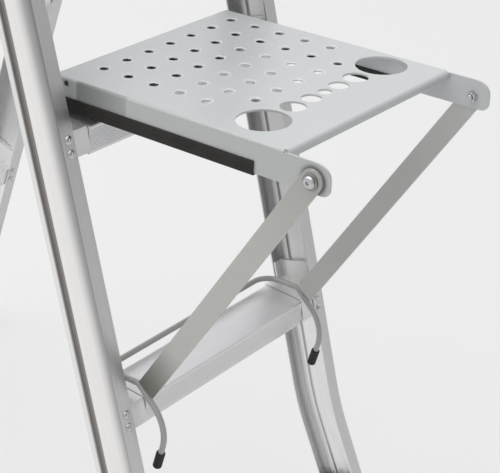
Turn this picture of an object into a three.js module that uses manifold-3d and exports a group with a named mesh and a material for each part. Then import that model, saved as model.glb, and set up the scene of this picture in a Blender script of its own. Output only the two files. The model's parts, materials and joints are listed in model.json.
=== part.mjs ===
// Double-sided aluminium step ladder with a perforated tool tray hooked on its front treads.
// Millimetres, +Z up. The treads run along X, the tray stands out to -Y, the floor is Z = 0.

import * as THREE from 'three';
import { mergeVertices } from 'three/addons/utils/BufferGeometryUtils.js';
import Module from 'manifold-3d';

const wasm = await Module();
wasm.setup();

const radians = THREE.MathUtils.degToRad;

// Whole ladder, with the treads counted up from the floor to the top one and to the tray's
const firstTread = 300;
const treadPitch = 280;
const treadCount = 3;
const trayTreadCount = 2;
const lean = radians(17.27);
const pivotAbove = 69;
const closedGap = 27.5;
const frontHalfWidth = 174.8;
const frameInset = 13.7;

// Gap between touching pieces, how far a cutter runs past what it cuts, and how close two points are one
const fit = 0.3;
const overrun = 1;
const weld = 0.0003;

// Rail: a channel that opens inwards, its web crowned and grooved, its lower end flared
const rail = {
  depth: 55,
  flange: 18.7,
  wall: 1.9,
  corner: 1.2,
  crown: 0.7,
  bandShare: 0.673,
  grooveShare: 0.182,
  grooveSide: 1.2,
  grooveDepth: 3.2,
  aboveHinge: 46,
  flareBelow: 110,
  flareRadius: 375,
  flareAngle: radians(10),
};
const bandSteps = 6;
const flareSteps = 4;

// Foot and top cap of a rail
const foot = {
  wall: 2.4,
  sole: 6,
  height: 26,
  rib: 2.2,
  floor: 4,
  grooves: 4,
  groovePitch: 12,
  grooveWidth: 3.2,
  grooveDepth: 1.6,
};
const cap = { plate: 4, plug: 20, bevel: 1.2, lap: 1.5 };

// Tread: an inverted channel with a raised nose and a ribbed front
const tread = {
  inset: 40.8,
  short: 3.3,
  height: 31,
  wall: 1.8,
  proud: 1.5,
  lip: 7,
  noseHeight: 4.4,
  noseStep: 0.8,
  noseRadius: 1.8,
  ribPitch: 2.6,
  ribHeight: 0.5,
  ribTop: 1,
  ribSlope: 0.4,
};

// Bracket at a tread's end
const bracket = { plate: 2.5, gap: 1.4, above: 18, foot: 5.6, tongue: 24, lap: 12, flangeClear: 0.8 };

// Top hinge
const hinge = {
  plate: 3,
  eye: 15,
  legAbove: 30,
  legBelow: 42,
  pinRadius: 3,
  pinReach: 22,
  pinEye: 8,
  pinHead: 2,
  pinHeadRadius: 4.8,
  webGrip: 42,
  webAbove: 22,
  webBelow: 36,
  webCorner: 6,
};

// Fasteners
const earBolt = { shank: 3, head: 6.2, headHeight: 3.3, washer: 8, nut: 5.8, nutHeight: 5.2, socket: 2.2 };
const hingeBolt = { shank: 4, head: 7, headHeight: 4.4, washer: 7.6, nut: 7.5, nutHeight: 6.5, socket: 2.8 };
const stack = { tail: 1.5, washerThickness: 1.5, socketShare: 0.55 };
const dome = { rimShare: 0.25, flatShare: 0.45 };

// Tray: its own origin is the back row of holes on the top sheet's upper face
const tray = {
  tilt: radians(3.5),
  backInset: 4.26,
  back: 27.5,
  front: 266,
  sheet: 2,
  bend: 4,
  flangeDrop: 32,
  lipRadius: 6,
  lipDrop: 10,
  lipHem: 2,
  notch: 3.4,
  backDrop: 39,
  eyeletAhead: 16,
  eyeletBelow: 6.6,
  eyeletRadius: 2.9,
};
const bendSteps = 4;

// Ear at the tray's front corner, and its bolt: lengths ahead of the lip, drops as shares of the flange's
const ear = {
  startBehind: 4,
  topAhead: 25,
  tipAhead: 44.1,
  chinAhead: 34,
  boltAhead: 25.5,
  topShare: 0.06,
  tipShare: 0.5,
  chinShare: 0.7,
  boltShare: 0.606,
};

// Small holes in the tray, with their pitch and sideways shift as shares of its half width
const grid = {
  pitchShare: 0.248,
  shiftShare: 0.0755,
  columns: 7,
  rows: 6,
  radius: 4.7,
  dish: 6.4,
  dishDepth: 1.1,
  sides: 10,
};

// Tool holes in the tray, from the middle outwards: places and radii as shares of its half width
const toolRow = { behind: 63, shiftShare: 0.03, sides: 28 };
const toolPlaceShares = [0, 0.1675, -0.1675, 0.38, -0.38, 0.7128, -0.7128];
const toolRadiusShares = [0.0542, 0.0767, 0.0767, 0.0972, 0.0972, 0.1975, 0.1975];

// Rubber strip over a tray flange's lower edge
const strip = { wall: 1.6, grip: 14, behind: 40, ribs: 4, ribHeight: 0.5, ribFlankShare: 0.25 };

// Strut, whose lower end stands by the front edge of the tread below the tray's
const strut = { width: 23, thickness: 3, endBehind: -0.42, endAbove: 11.24 };

// Bail: a bar behind that tread, arms over it, shoulders at its front edge, and hooks
const bail = {
  radius: 3.25,
  sides: 8,
  barBehind: 3.64,
  barAbove: 10.8,
  cornerRadius: 20,
  cornerSteps: 6,
  armRise: radians(4.8),
  armShort: 12.74,
  shoulderRadius: 6,
  shoulderSteps: 4,
  shoulderTurn: radians(44.9),
  shoulderLength: 25.1,
  hookRadius: 46,
  hookTurn: radians(62.8),
  hookSteps: 6,
  hookEnd: 28.7,
};
const rodCap = { radius: 5, length: 21, end: 4, edge: 1.8, sides: 16 };
const roundSides = 16;

// Values that follow from the sizes above
const pivotHeight = treadHeight(treadCount) + pivotAbove;
const rearHalfWidth = frontHalfWidth - rail.flange - frameInset;
const trayHalfWidth = frontHalfWidth - tread.inset - fit;
const treadDepth = rail.depth / Math.cos(lean) - tread.short;
const outerPlane = -(closedGap / 2 + rail.depth);
const innerPlane = -closedGap / 2;
const webClear = rail.crown + rail.grooveDepth + rail.wall + fit;
const bracketTip = rail.flange - bracket.flangeClear;
const bracketBack = rail.depth - rail.wall - fit;
const bracketDrop = tread.height - bracket.foot;
const earBoltPlace = new THREE.Vector3(0, -tray.front - ear.boltAhead, -tray.flangeDrop * ear.boltShare);
const xAxis = new THREE.Vector3(1, 0, 0);

function treadHeight(number) {
  return firstTread + (number - 1) * treadPitch;
}

// Materials

function aluminium() {
  return new THREE.MeshStandardMaterial({ color: 0xd6d6d4, roughness: 0.38, metalness: 0.9 });
}

function castAluminium() {
  return new THREE.MeshStandardMaterial({ color: 0xc9c7c4, roughness: 0.5, metalness: 0.8 });
}

function paintedSteel() {
  return new THREE.MeshStandardMaterial({ color: 0xc6c9c8, roughness: 0.45, metalness: 0.25 });
}

function zincSteel() {
  return new THREE.MeshStandardMaterial({ color: 0xa9aaab, roughness: 0.32, metalness: 1 });
}

function blackRubber() {
  return new THREE.MeshStandardMaterial({ color: 0x232221, roughness: 0.8, metalness: 0 });
}

function greyPlastic() {
  return new THREE.MeshStandardMaterial({ color: 0x3a3b3d, roughness: 0.6, metalness: 0 });
}

// Solids

function signedVolume(positions, index) {
  const a = new THREE.Vector3();
  const b = new THREE.Vector3();
  const c = new THREE.Vector3();
  let sum = 0;
  for (let i = 0; i < index.length; i += 3) {
    a.fromArray(positions, index[i] * 3);
    b.fromArray(positions, index[i + 1] * 3);
    c.fromArray(positions, index[i + 2] * 3);
    sum += a.dot(b.cross(c));
  }
  return sum;
}

function closedGeometry(positions, index) {
  const outward = signedVolume(positions, index) > 0 ? index : index.slice().reverse();
  const geometry = new THREE.BufferGeometry();
  geometry.setAttribute('position', new THREE.Float32BufferAttribute(positions, 3));
  geometry.setIndex(outward);
  return geometry;
}

// A closed body through rings of equally many points, with ends filled after a flat outline
function loft(rings, outline) {
  const count = outline.length;
  const positions = rings.flat().flatMap((point) => point.toArray());
  const index = [];
  for (let ring = 0; ring + 1 < rings.length; ring += 1) {
    for (let i = 0; i < count; i += 1) {
      const next = (i + 1) % count;
      const a = ring * count + i;
      const b = ring * count + next;
      index.push(a, b, b + count, a, b + count, a + count);
    }
  }
  const last = (rings.length - 1) * count;
  for (const [a, b, c] of endTriangles(outline)) {
    index.push(c, b, a, a + last, b + last, c + last);
  }
  return closedGeometry(positions, index);
}

// Filling that runs against or with the outline's own direction, to suit the walls of a loft
function endTriangles(outline) {
  const faces = THREE.ShapeUtils.triangulateShape(outline.slice(), []);
  const [a, b, c] = faces[0].map((corner) => outline[corner]);
  const turn = (b.x - a.x) * (c.y - a.y) - (b.y - a.y) * (c.x - a.x);
  const agrees = turn > 0 === THREE.ShapeUtils.area(outline) > 0;
  return agrees ? faces : faces.map(([p, q, r]) => [r, q, p]);
}

function toSolid(geometry) {
  const bare = geometry.clone();
  bare.deleteAttribute('normal');
  bare.deleteAttribute('uv');
  const merged = mergeVertices(bare, weld);
  const positions = merged.attributes.position.array;
  const mesh = new wasm.Mesh({
    numProp: 3,
    vertProperties: new Float32Array(positions),
    triVerts: new Uint32Array(merged.index.array),
  });
  return new wasm.Manifold(mesh);
}

function toGeometry(solid) {
  const mesh = solid.getMesh();
  const geometry = new THREE.BufferGeometry();
  geometry.setAttribute('position', new THREE.Float32BufferAttribute(mesh.vertProperties, 3));
  geometry.setIndex(Array.from(mesh.triVerts));
  return geometry;
}

function join(...geometries) {
  const solids = geometries.map(toSolid);
  return toGeometry(solids.reduce((sum, solid) => sum.add(solid)));
}

function cut(geometry, ...tools) {
  const solids = tools.map(toSolid);
  return toGeometry(solids.reduce((rest, tool) => rest.subtract(tool), toSolid(geometry)));
}

function meshOf(name, geometry, material) {
  const flat = geometry.index ? geometry.toNonIndexed() : geometry;
  flat.computeVertexNormals();
  const mesh = new THREE.Mesh(flat, material);
  mesh.name = name;
  return mesh;
}

function points2(pairs) {
  return pairs.map(([x, y]) => new THREE.Vector2(x, y));
}

// A flat outline in Y and Z, given thickness along X
function acrossX(outline, fromX, toX) {
  const shape = outline instanceof THREE.Shape ? outline : new THREE.Shape(outline);
  const low = Math.min(fromX, toX);
  const depth = Math.abs(toX - fromX);
  const geometry = new THREE.ExtrudeGeometry(shape, { depth, bevelEnabled: false, curveSegments: bendSteps });
  const turn = new THREE.Matrix4().makeBasis(
    new THREE.Vector3(0, 1, 0),
    new THREE.Vector3(0, 0, 1),
    new THREE.Vector3(1, 0, 0),
  );
  geometry.applyMatrix4(turn);
  return geometry.translate(low, 0, 0);
}

// A flat outline in X and Z, given length along Y
function alongY(outline, fromY, toY) {
  const shape = new THREE.Shape(outline);
  const low = Math.min(fromY, toY);
  const depth = Math.abs(toY - fromY);
  const geometry = new THREE.ExtrudeGeometry(shape, { depth, bevelEnabled: false });
  geometry.rotateX(Math.PI / 2);
  return geometry.translate(0, low + depth, 0);
}

function boxBetween(low, high) {
  const size = high.map((value, i) => value - low[i]);
  const geometry = new THREE.BoxGeometry(...size);
  return geometry.translate(...low.map((value, i) => value + size[i] / 2));
}

// A round bar or disc along X
function roundAlongX(radius, fromX, toX, sides = roundSides) {
  const geometry = new THREE.CylinderGeometry(radius, radius, Math.abs(toX - fromX), sides);
  geometry.rotateZ(Math.PI / 2);
  return geometry.translate((fromX + toX) / 2, 0, 0);
}

// Points on an arc in a plane, both ends included
function arc(centreX, centreY, radius, fromAngle, toAngle, steps) {
  const points = [];
  for (let i = 0; i <= steps; i += 1) {
    const angle = fromAngle + ((toAngle - fromAngle) * i) / steps;
    points.push(new THREE.Vector2(centreX + radius * Math.cos(angle), centreY + radius * Math.sin(angle)));
  }
  return points;
}

function cross(o, a, b) {
  return (a.x - o.x) * (b.y - o.y) - (a.y - o.y) * (b.x - o.x);
}

// The outline that a band stretched round a set of discs would take
function outlineRound(discs) {
  const steps = roundSides;
  const cloud = discs.flatMap(([x, y, radius]) => arc(x, y, radius, 0, 2 * Math.PI, steps).slice(1));
  cloud.sort((a, b) => a.x - b.x || a.y - b.y);
  const half = (points) => {
    const chain = [];
    for (const point of points) {
      while (chain.length > 1 && cross(chain.at(-2), chain.at(-1), point) <= 0) {
        chain.pop();
      }
      chain.push(point);
    }
    return chain.slice(0, -1);
  };
  return [...half(cloud), ...half(cloud.slice().reverse())];
}

// Rails. A frame's own axes lie along its rails: its origin is the hinge, its outer side faces -Y.

// Distance along the rail of a point at a height above the floor
function alongRail(height, y) {
  return (height - pivotHeight + y * Math.sin(lean)) / Math.cos(lean);
}

function flareShift(drop) {
  const arcDrop = rail.flareRadius * Math.sin(rail.flareAngle);
  if (drop <= 0) {
    return 0;
  }
  if (drop < arcDrop) {
    return rail.flareRadius - Math.sqrt(rail.flareRadius ** 2 - drop ** 2);
  }
  const arcShift = rail.flareRadius * (1 - Math.cos(rail.flareAngle));
  return arcShift + (drop - arcDrop) * Math.tan(rail.flareAngle);
}

const flareStart = alongRail(firstTread - rail.flareBelow, outerPlane);

// A point of a rail from its inset behind the outer face, its depth and its place along the rail
function railPoint(halfWidth, side, inset, depth, z) {
  const x = halfWidth - inset + flareShift(flareStart - z);
  return new THREE.Vector3(side * x, outerPlane + depth, z);
}

// The web's line between two depths, as inset against depth
function webLine(inset, fromDepth, toDepth) {
  const band = rail.depth * rail.bandShare;
  const points = [];
  for (let i = 0; i <= bandSteps; i += 1) {
    const share = i / bandSteps;
    const bulge = rail.crown * (1 - (2 * share - 1) ** 2);
    points.push([rail.crown - bulge + inset, fromDepth + share * (band - fromDepth)]);
  }
  const grooveInset = rail.crown + rail.grooveDepth + inset;
  const grooveEnd = band + rail.depth * rail.grooveShare;
  points.push([grooveInset, band + rail.grooveSide]);
  points.push([grooveInset, grooveEnd - rail.grooveSide]);
  points.push([rail.crown + inset, grooveEnd]);
  points.push([rail.crown + inset, toDepth]);
  return points;
}

// The rail's section, its walls thickened by a clearance on every side
function railSection(grow) {
  const tip = rail.flange + grow;
  const back = rail.depth - rail.wall - grow;
  const front = rail.wall + grow;
  return points2([
    [tip, -grow],
    [rail.crown + rail.corner, -grow],
    ...webLine(-grow, rail.corner, rail.depth - rail.corner),
    [rail.crown + rail.corner, rail.depth + grow],
    [tip, rail.depth + grow],
    [tip, back],
    ...webLine(rail.wall + grow, front, back).reverse(),
    [tip, front],
  ]);
}

// Ring of an outline cut off level at a height above the floor
function levelRing(outline, halfWidth, side, height) {
  return outline.map((point) => {
    const z = alongRail(height, outerPlane + point.y);
    return railPoint(halfWidth, side, point.x, point.y, z);
  });
}

function squareRing(outline, halfWidth, side, z) {
  return outline.map((point) => railPoint(halfWidth, side, point.x, point.y, z));
}

function railGeometry(halfWidth, side) {
  const section = railSection(0);
  const rings = [levelRing(section, halfWidth, side, foot.sole)];
  for (let i = flareSteps; i >= 0; i -= 1) {
    const angle = (rail.flareAngle * i) / flareSteps;
    rings.push(squareRing(section, halfWidth, side, flareStart - rail.flareRadius * Math.sin(angle)));
  }
  rings.push(squareRing(section, halfWidth, side, rail.aboveHinge));
  return loft(rings, section);
}

// Feet and rail caps

function cornered(low, high, bevel) {
  const [x0, y0] = low;
  const [x1, y1] = high;
  return points2([
    [x0 + bevel, y0],
    [x1 - bevel, y0],
    [x1, y0 + bevel],
    [x1, y1 - bevel],
    [x1 - bevel, y1],
    [x0 + bevel, y1],
    [x0, y1 - bevel],
    [x0, y0 + bevel],
  ]);
}

function levelLoft(outline, halfWidth, side, fromHeight, toHeight) {
  const rings = [fromHeight, toHeight].map((height) => levelRing(outline, halfWidth, side, height));
  return loft(rings, outline);
}

// Grooves across the sole, level with the floor
function soleGrooves(halfWidth, side) {
  const middle = outerPlane + rail.depth / 2;
  const reach = rail.flange + foot.wall * 2 + overrun;
  const z = alongRail(0, middle);
  const x = side * (halfWidth - rail.flange / 2 + flareShift(flareStart - z));
  const grooves = [];
  for (let i = 0; i < foot.grooves; i += 1) {
    const place = (i - (foot.grooves - 1) / 2) * foot.groovePitch;
    const groove = new THREE.BoxGeometry(reach * 2, foot.grooveWidth, foot.grooveDepth * 2);
    groove.translate(0, place, 0);
    groove.rotateX(lean);
    grooves.push(groove.translate(x, middle, z));
  }
  return grooves;
}

function footGeometry(halfWidth, side) {
  const out = foot.wall + fit;
  const shoe = cornered([-out, -out], [rail.flange + out, rail.depth + out], foot.wall);
  const core = cornered(
    [webClear + foot.rib, rail.wall + fit + foot.rib],
    [rail.flange - foot.rib, rail.depth - rail.wall - fit - foot.rib],
    foot.rib,
  );
  const high = foot.height + overrun;
  return cut(
    levelLoft(shoe, halfWidth, side, 0, foot.height),
    levelLoft(railSection(fit), halfWidth, side, foot.sole - fit, high),
    levelLoft(core, halfWidth, side, foot.sole + foot.floor, high),
    ...soleGrooves(halfWidth, side),
  );
}

function capGeometry(halfWidth, side) {
  const lid = cornered([-cap.lap, -cap.lap], [rail.flange + cap.lap, rail.depth + cap.lap], cap.lap);
  const crown = cornered([0, 0], [rail.flange, rail.depth], cap.bevel);
  const plug = cornered(
    [webClear, rail.wall + fit],
    [rail.flange - fit, rail.depth - rail.wall - fit],
    cap.bevel,
  );
  const base = rail.aboveHinge + fit;
  const ringsOf = (outline, from, to) => loft(
    [from, to].map((z) => squareRing(outline, halfWidth, side, z)),
    outline,
  );
  const lidRings = [
    squareRing(lid, halfWidth, side, base),
    squareRing(lid, halfWidth, side, base + cap.plate - cap.bevel),
    squareRing(crown, halfWidth, side, base + cap.plate),
  ];
  return join(loft(lidRings, lid), ringsOf(plug, rail.aboveHinge - cap.plug, base + cap.plate / 2));
}

// Treads. Their own axes are level: the origin is the rails' outer plane at the tread's top.

function treadSection() {
  const front = -tread.proud;
  const back = front + treadDepth;
  const face = front + tread.noseStep;
  const points = [
    ...arc(front + tread.noseRadius, -tread.noseRadius, tread.noseRadius, Math.PI / 2, Math.PI, bendSteps),
    new THREE.Vector2(front, -tread.noseHeight + tread.noseStep),
    new THREE.Vector2(face, -tread.noseHeight),
  ];
  const ribCount = Math.floor((tread.height - tread.noseHeight - tread.ribPitch) / tread.ribPitch);
  for (let i = 0; i < ribCount; i += 1) {
    const top = -tread.noseHeight - tread.ribPitch / 2 - i * tread.ribPitch;
    const low = top - tread.ribSlope - tread.ribTop;
    points.push(new THREE.Vector2(face, top));
    points.push(new THREE.Vector2(face - tread.ribHeight, top - tread.ribSlope));
    points.push(new THREE.Vector2(face - tread.ribHeight, low));
    points.push(new THREE.Vector2(face, low - tread.ribSlope));
  }
  const innerFront = face + tread.wall;
  const innerBack = back - tread.wall;
  points.push(...points2([
    [face, -tread.height],
    [face + tread.lip, -tread.height],
    [face + tread.lip, -tread.height + tread.wall],
    [innerFront, -tread.height + tread.wall],
    [innerFront, -tread.wall],
    [innerBack, -tread.wall],
    [innerBack, -tread.height + tread.wall],
    [back - tread.lip, -tread.height + tread.wall],
    [back - tread.lip, -tread.height],
    [back, -tread.height],
  ]));
  const { noseRadius } = tread;
  points.push(...arc(back - noseRadius, -noseRadius, noseRadius, 0, Math.PI / 2, bendSteps));
  return points;
}

function treadGeometry(halfWidth) {
  const end = halfWidth - tread.inset;
  return acrossX(treadSection(), -end, end);
}

// Upright walls of a bracket, on a level foot, with a top that heightAt gives
function bracketWalls(halfWidth, side, outline, heightAt) {
  const place = (point, z) => {
    const placed = new THREE.Vector3(side * (halfWidth - point.x), point.y, z);
    return placed.applyAxisAngle(xAxis, -lean);
  };
  const footAt = (point) => (point.y * Math.sin(lean) - bracketDrop) / Math.cos(lean);
  const low = outline.map((point) => place(point, footAt(point)));
  const high = outline.map((point) => place(point, heightAt(point)));
  return loft([low, high], outline);
}

// Channel insert of a bracket: lies in the rail, its top square to the rail
function bracketInsert(halfWidth, side) {
  const front = rail.wall + fit;
  const web = webClear + bracket.plate;
  const outline = points2([
    ...webLine(rail.wall + fit, front, bracketBack),
    [bracketTip, bracketBack],
    [bracketTip, bracketBack - bracket.plate],
    [web, bracketBack - bracket.plate],
    [web, front + bracket.plate],
    [bracketTip, front + bracket.plate],
    [bracketTip, front],
  ]);
  const top = (bracket.above + bracketBack * Math.sin(lean)) / Math.cos(lean);
  return bracketWalls(halfWidth, side, outline, () => top);
}

// Rear plate of a bracket: goes on from the insert towards the tread, no higher than the sill
function bracketRearPlate(halfWidth, side) {
  const treadEnd = tread.inset - bracket.gap;
  const outline = points2([
    [bracketTip - bracket.plate, bracketBack],
    [treadEnd, bracketBack],
    [treadEnd, bracketBack - bracket.plate],
    [bracketTip - bracket.plate, bracketBack - bracket.plate],
  ]);
  return bracketWalls(halfWidth, side, outline, (point) => point.y * Math.tan(lean));
}

// Sill of a bracket: carries on the tread's top and front to the rail's web
function bracketSill(halfWidth, side) {
  const slope = Math.tan(lean);
  const front = (rail.wall + fit) / Math.cos(lean);
  const back = treadDepth - tread.proud;
  const low = -bracketDrop;
  const thick = bracket.plate / Math.cos(lean);
  const outline = points2([
    [front, 0],
    [back, 0],
    [back, -bracket.plate],
    [front + thick - bracket.plate * slope, -bracket.plate],
    [front + thick + low * slope, low],
    [front + low * slope, low],
  ]);
  const fromX = halfWidth - tread.inset + bracket.gap;
  const toX = halfWidth - webClear;
  return acrossX(outline, side * fromX, side * toX);
}

// Tongue of a bracket inside the tread
function bracketTongue(halfWidth, side) {
  const front = tread.noseStep - tread.proud + tread.wall + fit;
  const back = treadDepth - tread.proud - tread.wall - fit;
  const top = -tread.wall - fit;
  const low = -tread.height + tread.wall + fit;
  const outline = points2([
    [front, top],
    [back, top],
    [back, low],
    [back - bracket.plate, low],
    [back - bracket.plate, top - bracket.plate],
    [front + bracket.plate, top - bracket.plate],
    [front + bracket.plate, low],
    [front, low],
  ]);
  const end = halfWidth - tread.inset;
  return acrossX(outline, side * (end - bracket.tongue), side * (end + bracket.lap));
}

// Everything ahead of the rail's inner flange face, from the tread's end outwards
function aheadOfFlange(halfWidth, side) {
  const end = halfWidth - tread.inset;
  const reach = end + bracket.lap + overrun;
  const outline = points2([
    [-rail.depth, tread.height],
    [rail.wall + fit, tread.height],
    [rail.wall + fit, -rail.depth],
    [-rail.depth, -rail.depth],
  ]);
  return acrossX(outline, side * end, side * reach).rotateX(-lean);
}

function bracketGeometry(halfWidth, side) {
  const tongue = cut(bracketTongue(halfWidth, side), aheadOfFlange(halfWidth, side));
  const walls = join(bracketInsert(halfWidth, side), bracketRearPlate(halfWidth, side));
  return join(walls, bracketSill(halfWidth, side), tongue);
}

// Fasteners, along X with the head towards +X and its seat at zero

function boltGeometry(spec, shaftLength) {
  const rim = spec.headHeight * dome.rimShare;
  const crown = arc(0, 0, 1, 0, Math.PI / 2, bendSteps).map((point) => {
    const rise = rim + (spec.headHeight - rim) * point.y;
    return new THREE.Vector2(spec.head * Math.max(point.x, dome.flatShare), rise);
  });
  const profile = [
    new THREE.Vector2(0, -shaftLength),
    new THREE.Vector2(spec.shank, -shaftLength),
    new THREE.Vector2(spec.shank, 0),
    new THREE.Vector2(spec.head, 0),
    ...crown,
    new THREE.Vector2(0, spec.headHeight),
  ];
  const body = new THREE.LatheGeometry(profile, roundSides);
  const socketDepth = spec.headHeight * stack.socketShare;
  const hexagon = new THREE.CylinderGeometry(spec.socket, spec.socket, socketDepth * 2, 6);
  hexagon.translate(0, spec.headHeight, 0);
  return cut(body, hexagon).rotateZ(-Math.PI / 2);
}

function washerGeometry(spec) {
  const disc = roundAlongX(spec.washer, 0, stack.washerThickness);
  return cut(disc, roundAlongX(spec.shank + fit, -overrun, stack.washerThickness + overrun));
}

function nutGeometry(spec) {
  const hexagon = roundAlongX(spec.nut, 0, spec.nutHeight, 6);
  return cut(hexagon, roundAlongX(spec.shank + fit, -overrun, spec.nutHeight + overrun));
}

// Bolt, washer and nut through a stack of plates from an inner to an outer face
function fastenerSet(name, side, spec, innerFace, outerFace) {
  const set = new THREE.Group();
  const sideName = side < 0 ? 'left' : 'right';
  const washerSeat = outerFace + fit;
  const headSeat = washerSeat + stack.washerThickness + fit;
  const nutSeat = innerFace - fit - spec.nutHeight;
  const shaftLength = headSeat - nutSeat + stack.tail;
  const bolt = meshOf(`${name}_bolt_${sideName}`, boltGeometry(spec, shaftLength), zincSteel());
  const washer = meshOf(`${name}_washer_${sideName}`, washerGeometry(spec), zincSteel());
  const nut = meshOf(`${name}_nut_${sideName}`, nutGeometry(spec), zincSteel());
  bolt.position.x = headSeat;
  washer.position.x = washerSeat;
  nut.position.x = nutSeat;
  set.add(bolt, washer, nut);
  set.rotation.z = side < 0 ? Math.PI : 0;
  return set;
}

// Top hinge

// Plate planes along X, from the rear rail's web outwards
const rearPlateIn = rearHalfWidth + fit;
const rearPlateOut = rearPlateIn + hinge.plate;
const frontPlateIn = rearPlateOut + fit * 2;
const frontPlateOut = frontPlateIn + hinge.plate;

// Angle plate on a front rail: one leg on the inner flange, the other past the pivot
function frontHingePlate(side) {
  const seat = innerPlane + fit;
  const leg = outlineRound([
    [0, 0, hinge.eye],
    [0, -hinge.pinReach, hinge.pinEye],
    [seat + hinge.plate, hinge.legAbove - hinge.plate, hinge.plate],
    [seat + hinge.plate, -hinge.legBelow + hinge.plate, hinge.plate],
  ]);
  const flangeLeg = boxBetween(
    [Math.min(side * frontPlateIn, side * (frontHalfWidth - rail.crown)), seat, -hinge.legBelow],
    [Math.max(side * frontPlateIn, side * (frontHalfWidth - rail.crown)), seat + hinge.plate, hinge.legAbove],
  );
  const eyeLeg = acrossX(leg, side * frontPlateIn, side * frontPlateOut);
  const reach = frontPlateOut + overrun;
  const bore = roundAlongX(hingeBolt.shank + fit, side * (frontPlateIn - overrun), side * reach);
  const pinBore = roundAlongX(hinge.pinRadius + fit, side * (frontPlateIn - overrun), side * reach);
  pinBore.translate(0, 0, -hinge.pinReach);
  return cut(join(flangeLeg, eyeLeg), bore, pinBore);
}

// Outline of the slot that the stop pin runs in, in the rear frame's own axes
function slotOutline(radius) {
  const steps = bendSteps * 2;
  const from = -Math.PI / 2;
  const to = from + 2 * lean;
  const endAt = (angle) => [hinge.pinReach * Math.cos(angle), hinge.pinReach * Math.sin(angle)];
  return [
    ...arc(0, 0, hinge.pinReach + radius, from, to, steps),
    ...arc(...endAt(to), radius, to, to + Math.PI, steps).slice(1, -1),
    ...arc(0, 0, hinge.pinReach - radius, to, from, steps),
    ...arc(...endAt(from), radius, from + Math.PI, from + 2 * Math.PI, steps).slice(1, -1),
  ];
}

// Flat plate on a rear rail's web, in the rear frame's own axes
function rearHingePlate(side) {
  const from = -Math.PI / 2;
  const to = from + 2 * lean;
  const gripY = innerPlane - hinge.webGrip + hinge.webCorner;
  const outline = outlineRound([
    [0, 0, hinge.eye],
    [hinge.pinReach * Math.cos(from), hinge.pinReach * Math.sin(from), hinge.pinEye],
    [hinge.pinReach * Math.cos(to), hinge.pinReach * Math.sin(to), hinge.pinEye],
    [gripY, hinge.webAbove - hinge.webCorner, hinge.webCorner],
    [gripY, -hinge.webBelow + hinge.webCorner, hinge.webCorner],
  ]);
  const body = acrossX(outline, side * rearPlateIn, side * rearPlateOut);
  const reachIn = side * (rearPlateIn - overrun);
  const reachOut = side * (rearPlateOut + overrun);
  const bore = roundAlongX(hingeBolt.shank + fit, reachIn, reachOut);
  const slot = acrossX(slotOutline(hinge.pinRadius + fit), reachIn, reachOut);
  return cut(body, bore, slot);
}

// Stop pin: a shank through both plates with a thin head outside
function stopPin(side) {
  const shankIn = side * (rearPlateIn - hinge.pinHead);
  const headIn = side * (frontPlateOut + fit);
  const headOut = side * (frontPlateOut + fit + hinge.pinHead);
  const shank = roundAlongX(hinge.pinRadius, shankIn, headOut);
  const head = roundAlongX(hinge.pinHeadRadius, headIn, headOut);
  return join(shank, head).translate(0, 0, -hinge.pinReach);
}

// Frames

function treadSeat(number) {
  const seat = new THREE.Group();
  seat.position.set(0, outerPlane, alongRail(treadHeight(number), outerPlane));
  seat.rotation.x = lean;
  return seat;
}

// One frame in its own axes. The sign tells which world side its own +X side is on.
function frameGroup(name, halfWidth, sign) {
  const group = new THREE.Group();
  const treadShape = treadGeometry(halfWidth);
  for (const side of [-1, 1]) {
    const sideName = side * sign < 0 ? 'left' : 'right';
    group.add(meshOf(`${name}_rail_${sideName}`, railGeometry(halfWidth, side), aluminium()));
    group.add(meshOf(`${name}_foot_${sideName}`, footGeometry(halfWidth, side), greyPlastic()));
    group.add(meshOf(`${name}_cap_${sideName}`, capGeometry(halfWidth, side), greyPlastic()));
    const bracketShape = bracketGeometry(halfWidth, side);
    for (let number = 1; number <= treadCount; number += 1) {
      const seat = treadSeat(number);
      seat.add(meshOf(`${name}_bracket_${sideName}_${number}`, bracketShape, castAluminium()));
      group.add(seat);
    }
  }
  for (let number = 1; number <= treadCount; number += 1) {
    const seat = treadSeat(number);
    seat.add(meshOf(`${name}_tread_${number}`, treadShape, aluminium()));
    group.add(seat);
  }
  return group;
}

function frontFrame() {
  const frame = frameGroup('front', frontHalfWidth, 1);
  for (const side of [-1, 1]) {
    const sideName = side < 0 ? 'left' : 'right';
    frame.add(meshOf(`hinge_front_plate_${sideName}`, frontHingePlate(side), zincSteel()));
    frame.add(meshOf(`hinge_stop_pin_${sideName}`, stopPin(side), zincSteel()));
    frame.add(fastenerSet('hinge', side, hingeBolt, rearPlateIn, frontPlateOut));
  }
  frame.position.z = pivotHeight;
  frame.rotation.x = -lean;
  return frame;
}

function rearFrame() {
  const frame = frameGroup('rear', rearHalfWidth, -1);
  for (const side of [-1, 1]) {
    const sideName = side > 0 ? 'left' : 'right';
    frame.add(meshOf(`hinge_rear_plate_${sideName}`, rearHingePlate(side), zincSteel()));
  }
  const turned = new THREE.Group();
  frame.rotation.x = -lean;
  turned.add(frame);
  turned.rotation.z = Math.PI;
  turned.position.z = pivotHeight;
  return turned;
}

// Tray, in its own axes

// A sheet's corner from the top sheet down into a wall, as a closed outline
function foldOutline(edge, radius, drop, hem) {
  const sheet = tray.sheet;
  const centre = edge - radius;
  return [
    new THREE.Vector2(centre, 0),
    ...arc(centre, -radius, radius, Math.PI / 2, 0, bendSteps).slice(1),
    new THREE.Vector2(edge, -drop),
    new THREE.Vector2(edge - sheet - hem, -drop),
    new THREE.Vector2(edge - sheet - hem, Math.min(-radius, -drop + sheet + hem)),
    new THREE.Vector2(edge - sheet, Math.min(-radius, -drop + sheet + hem)),
    ...arc(centre, -radius, radius - sheet, 0, Math.PI / 2, bendSteps).slice(1),
  ];
}

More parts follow.
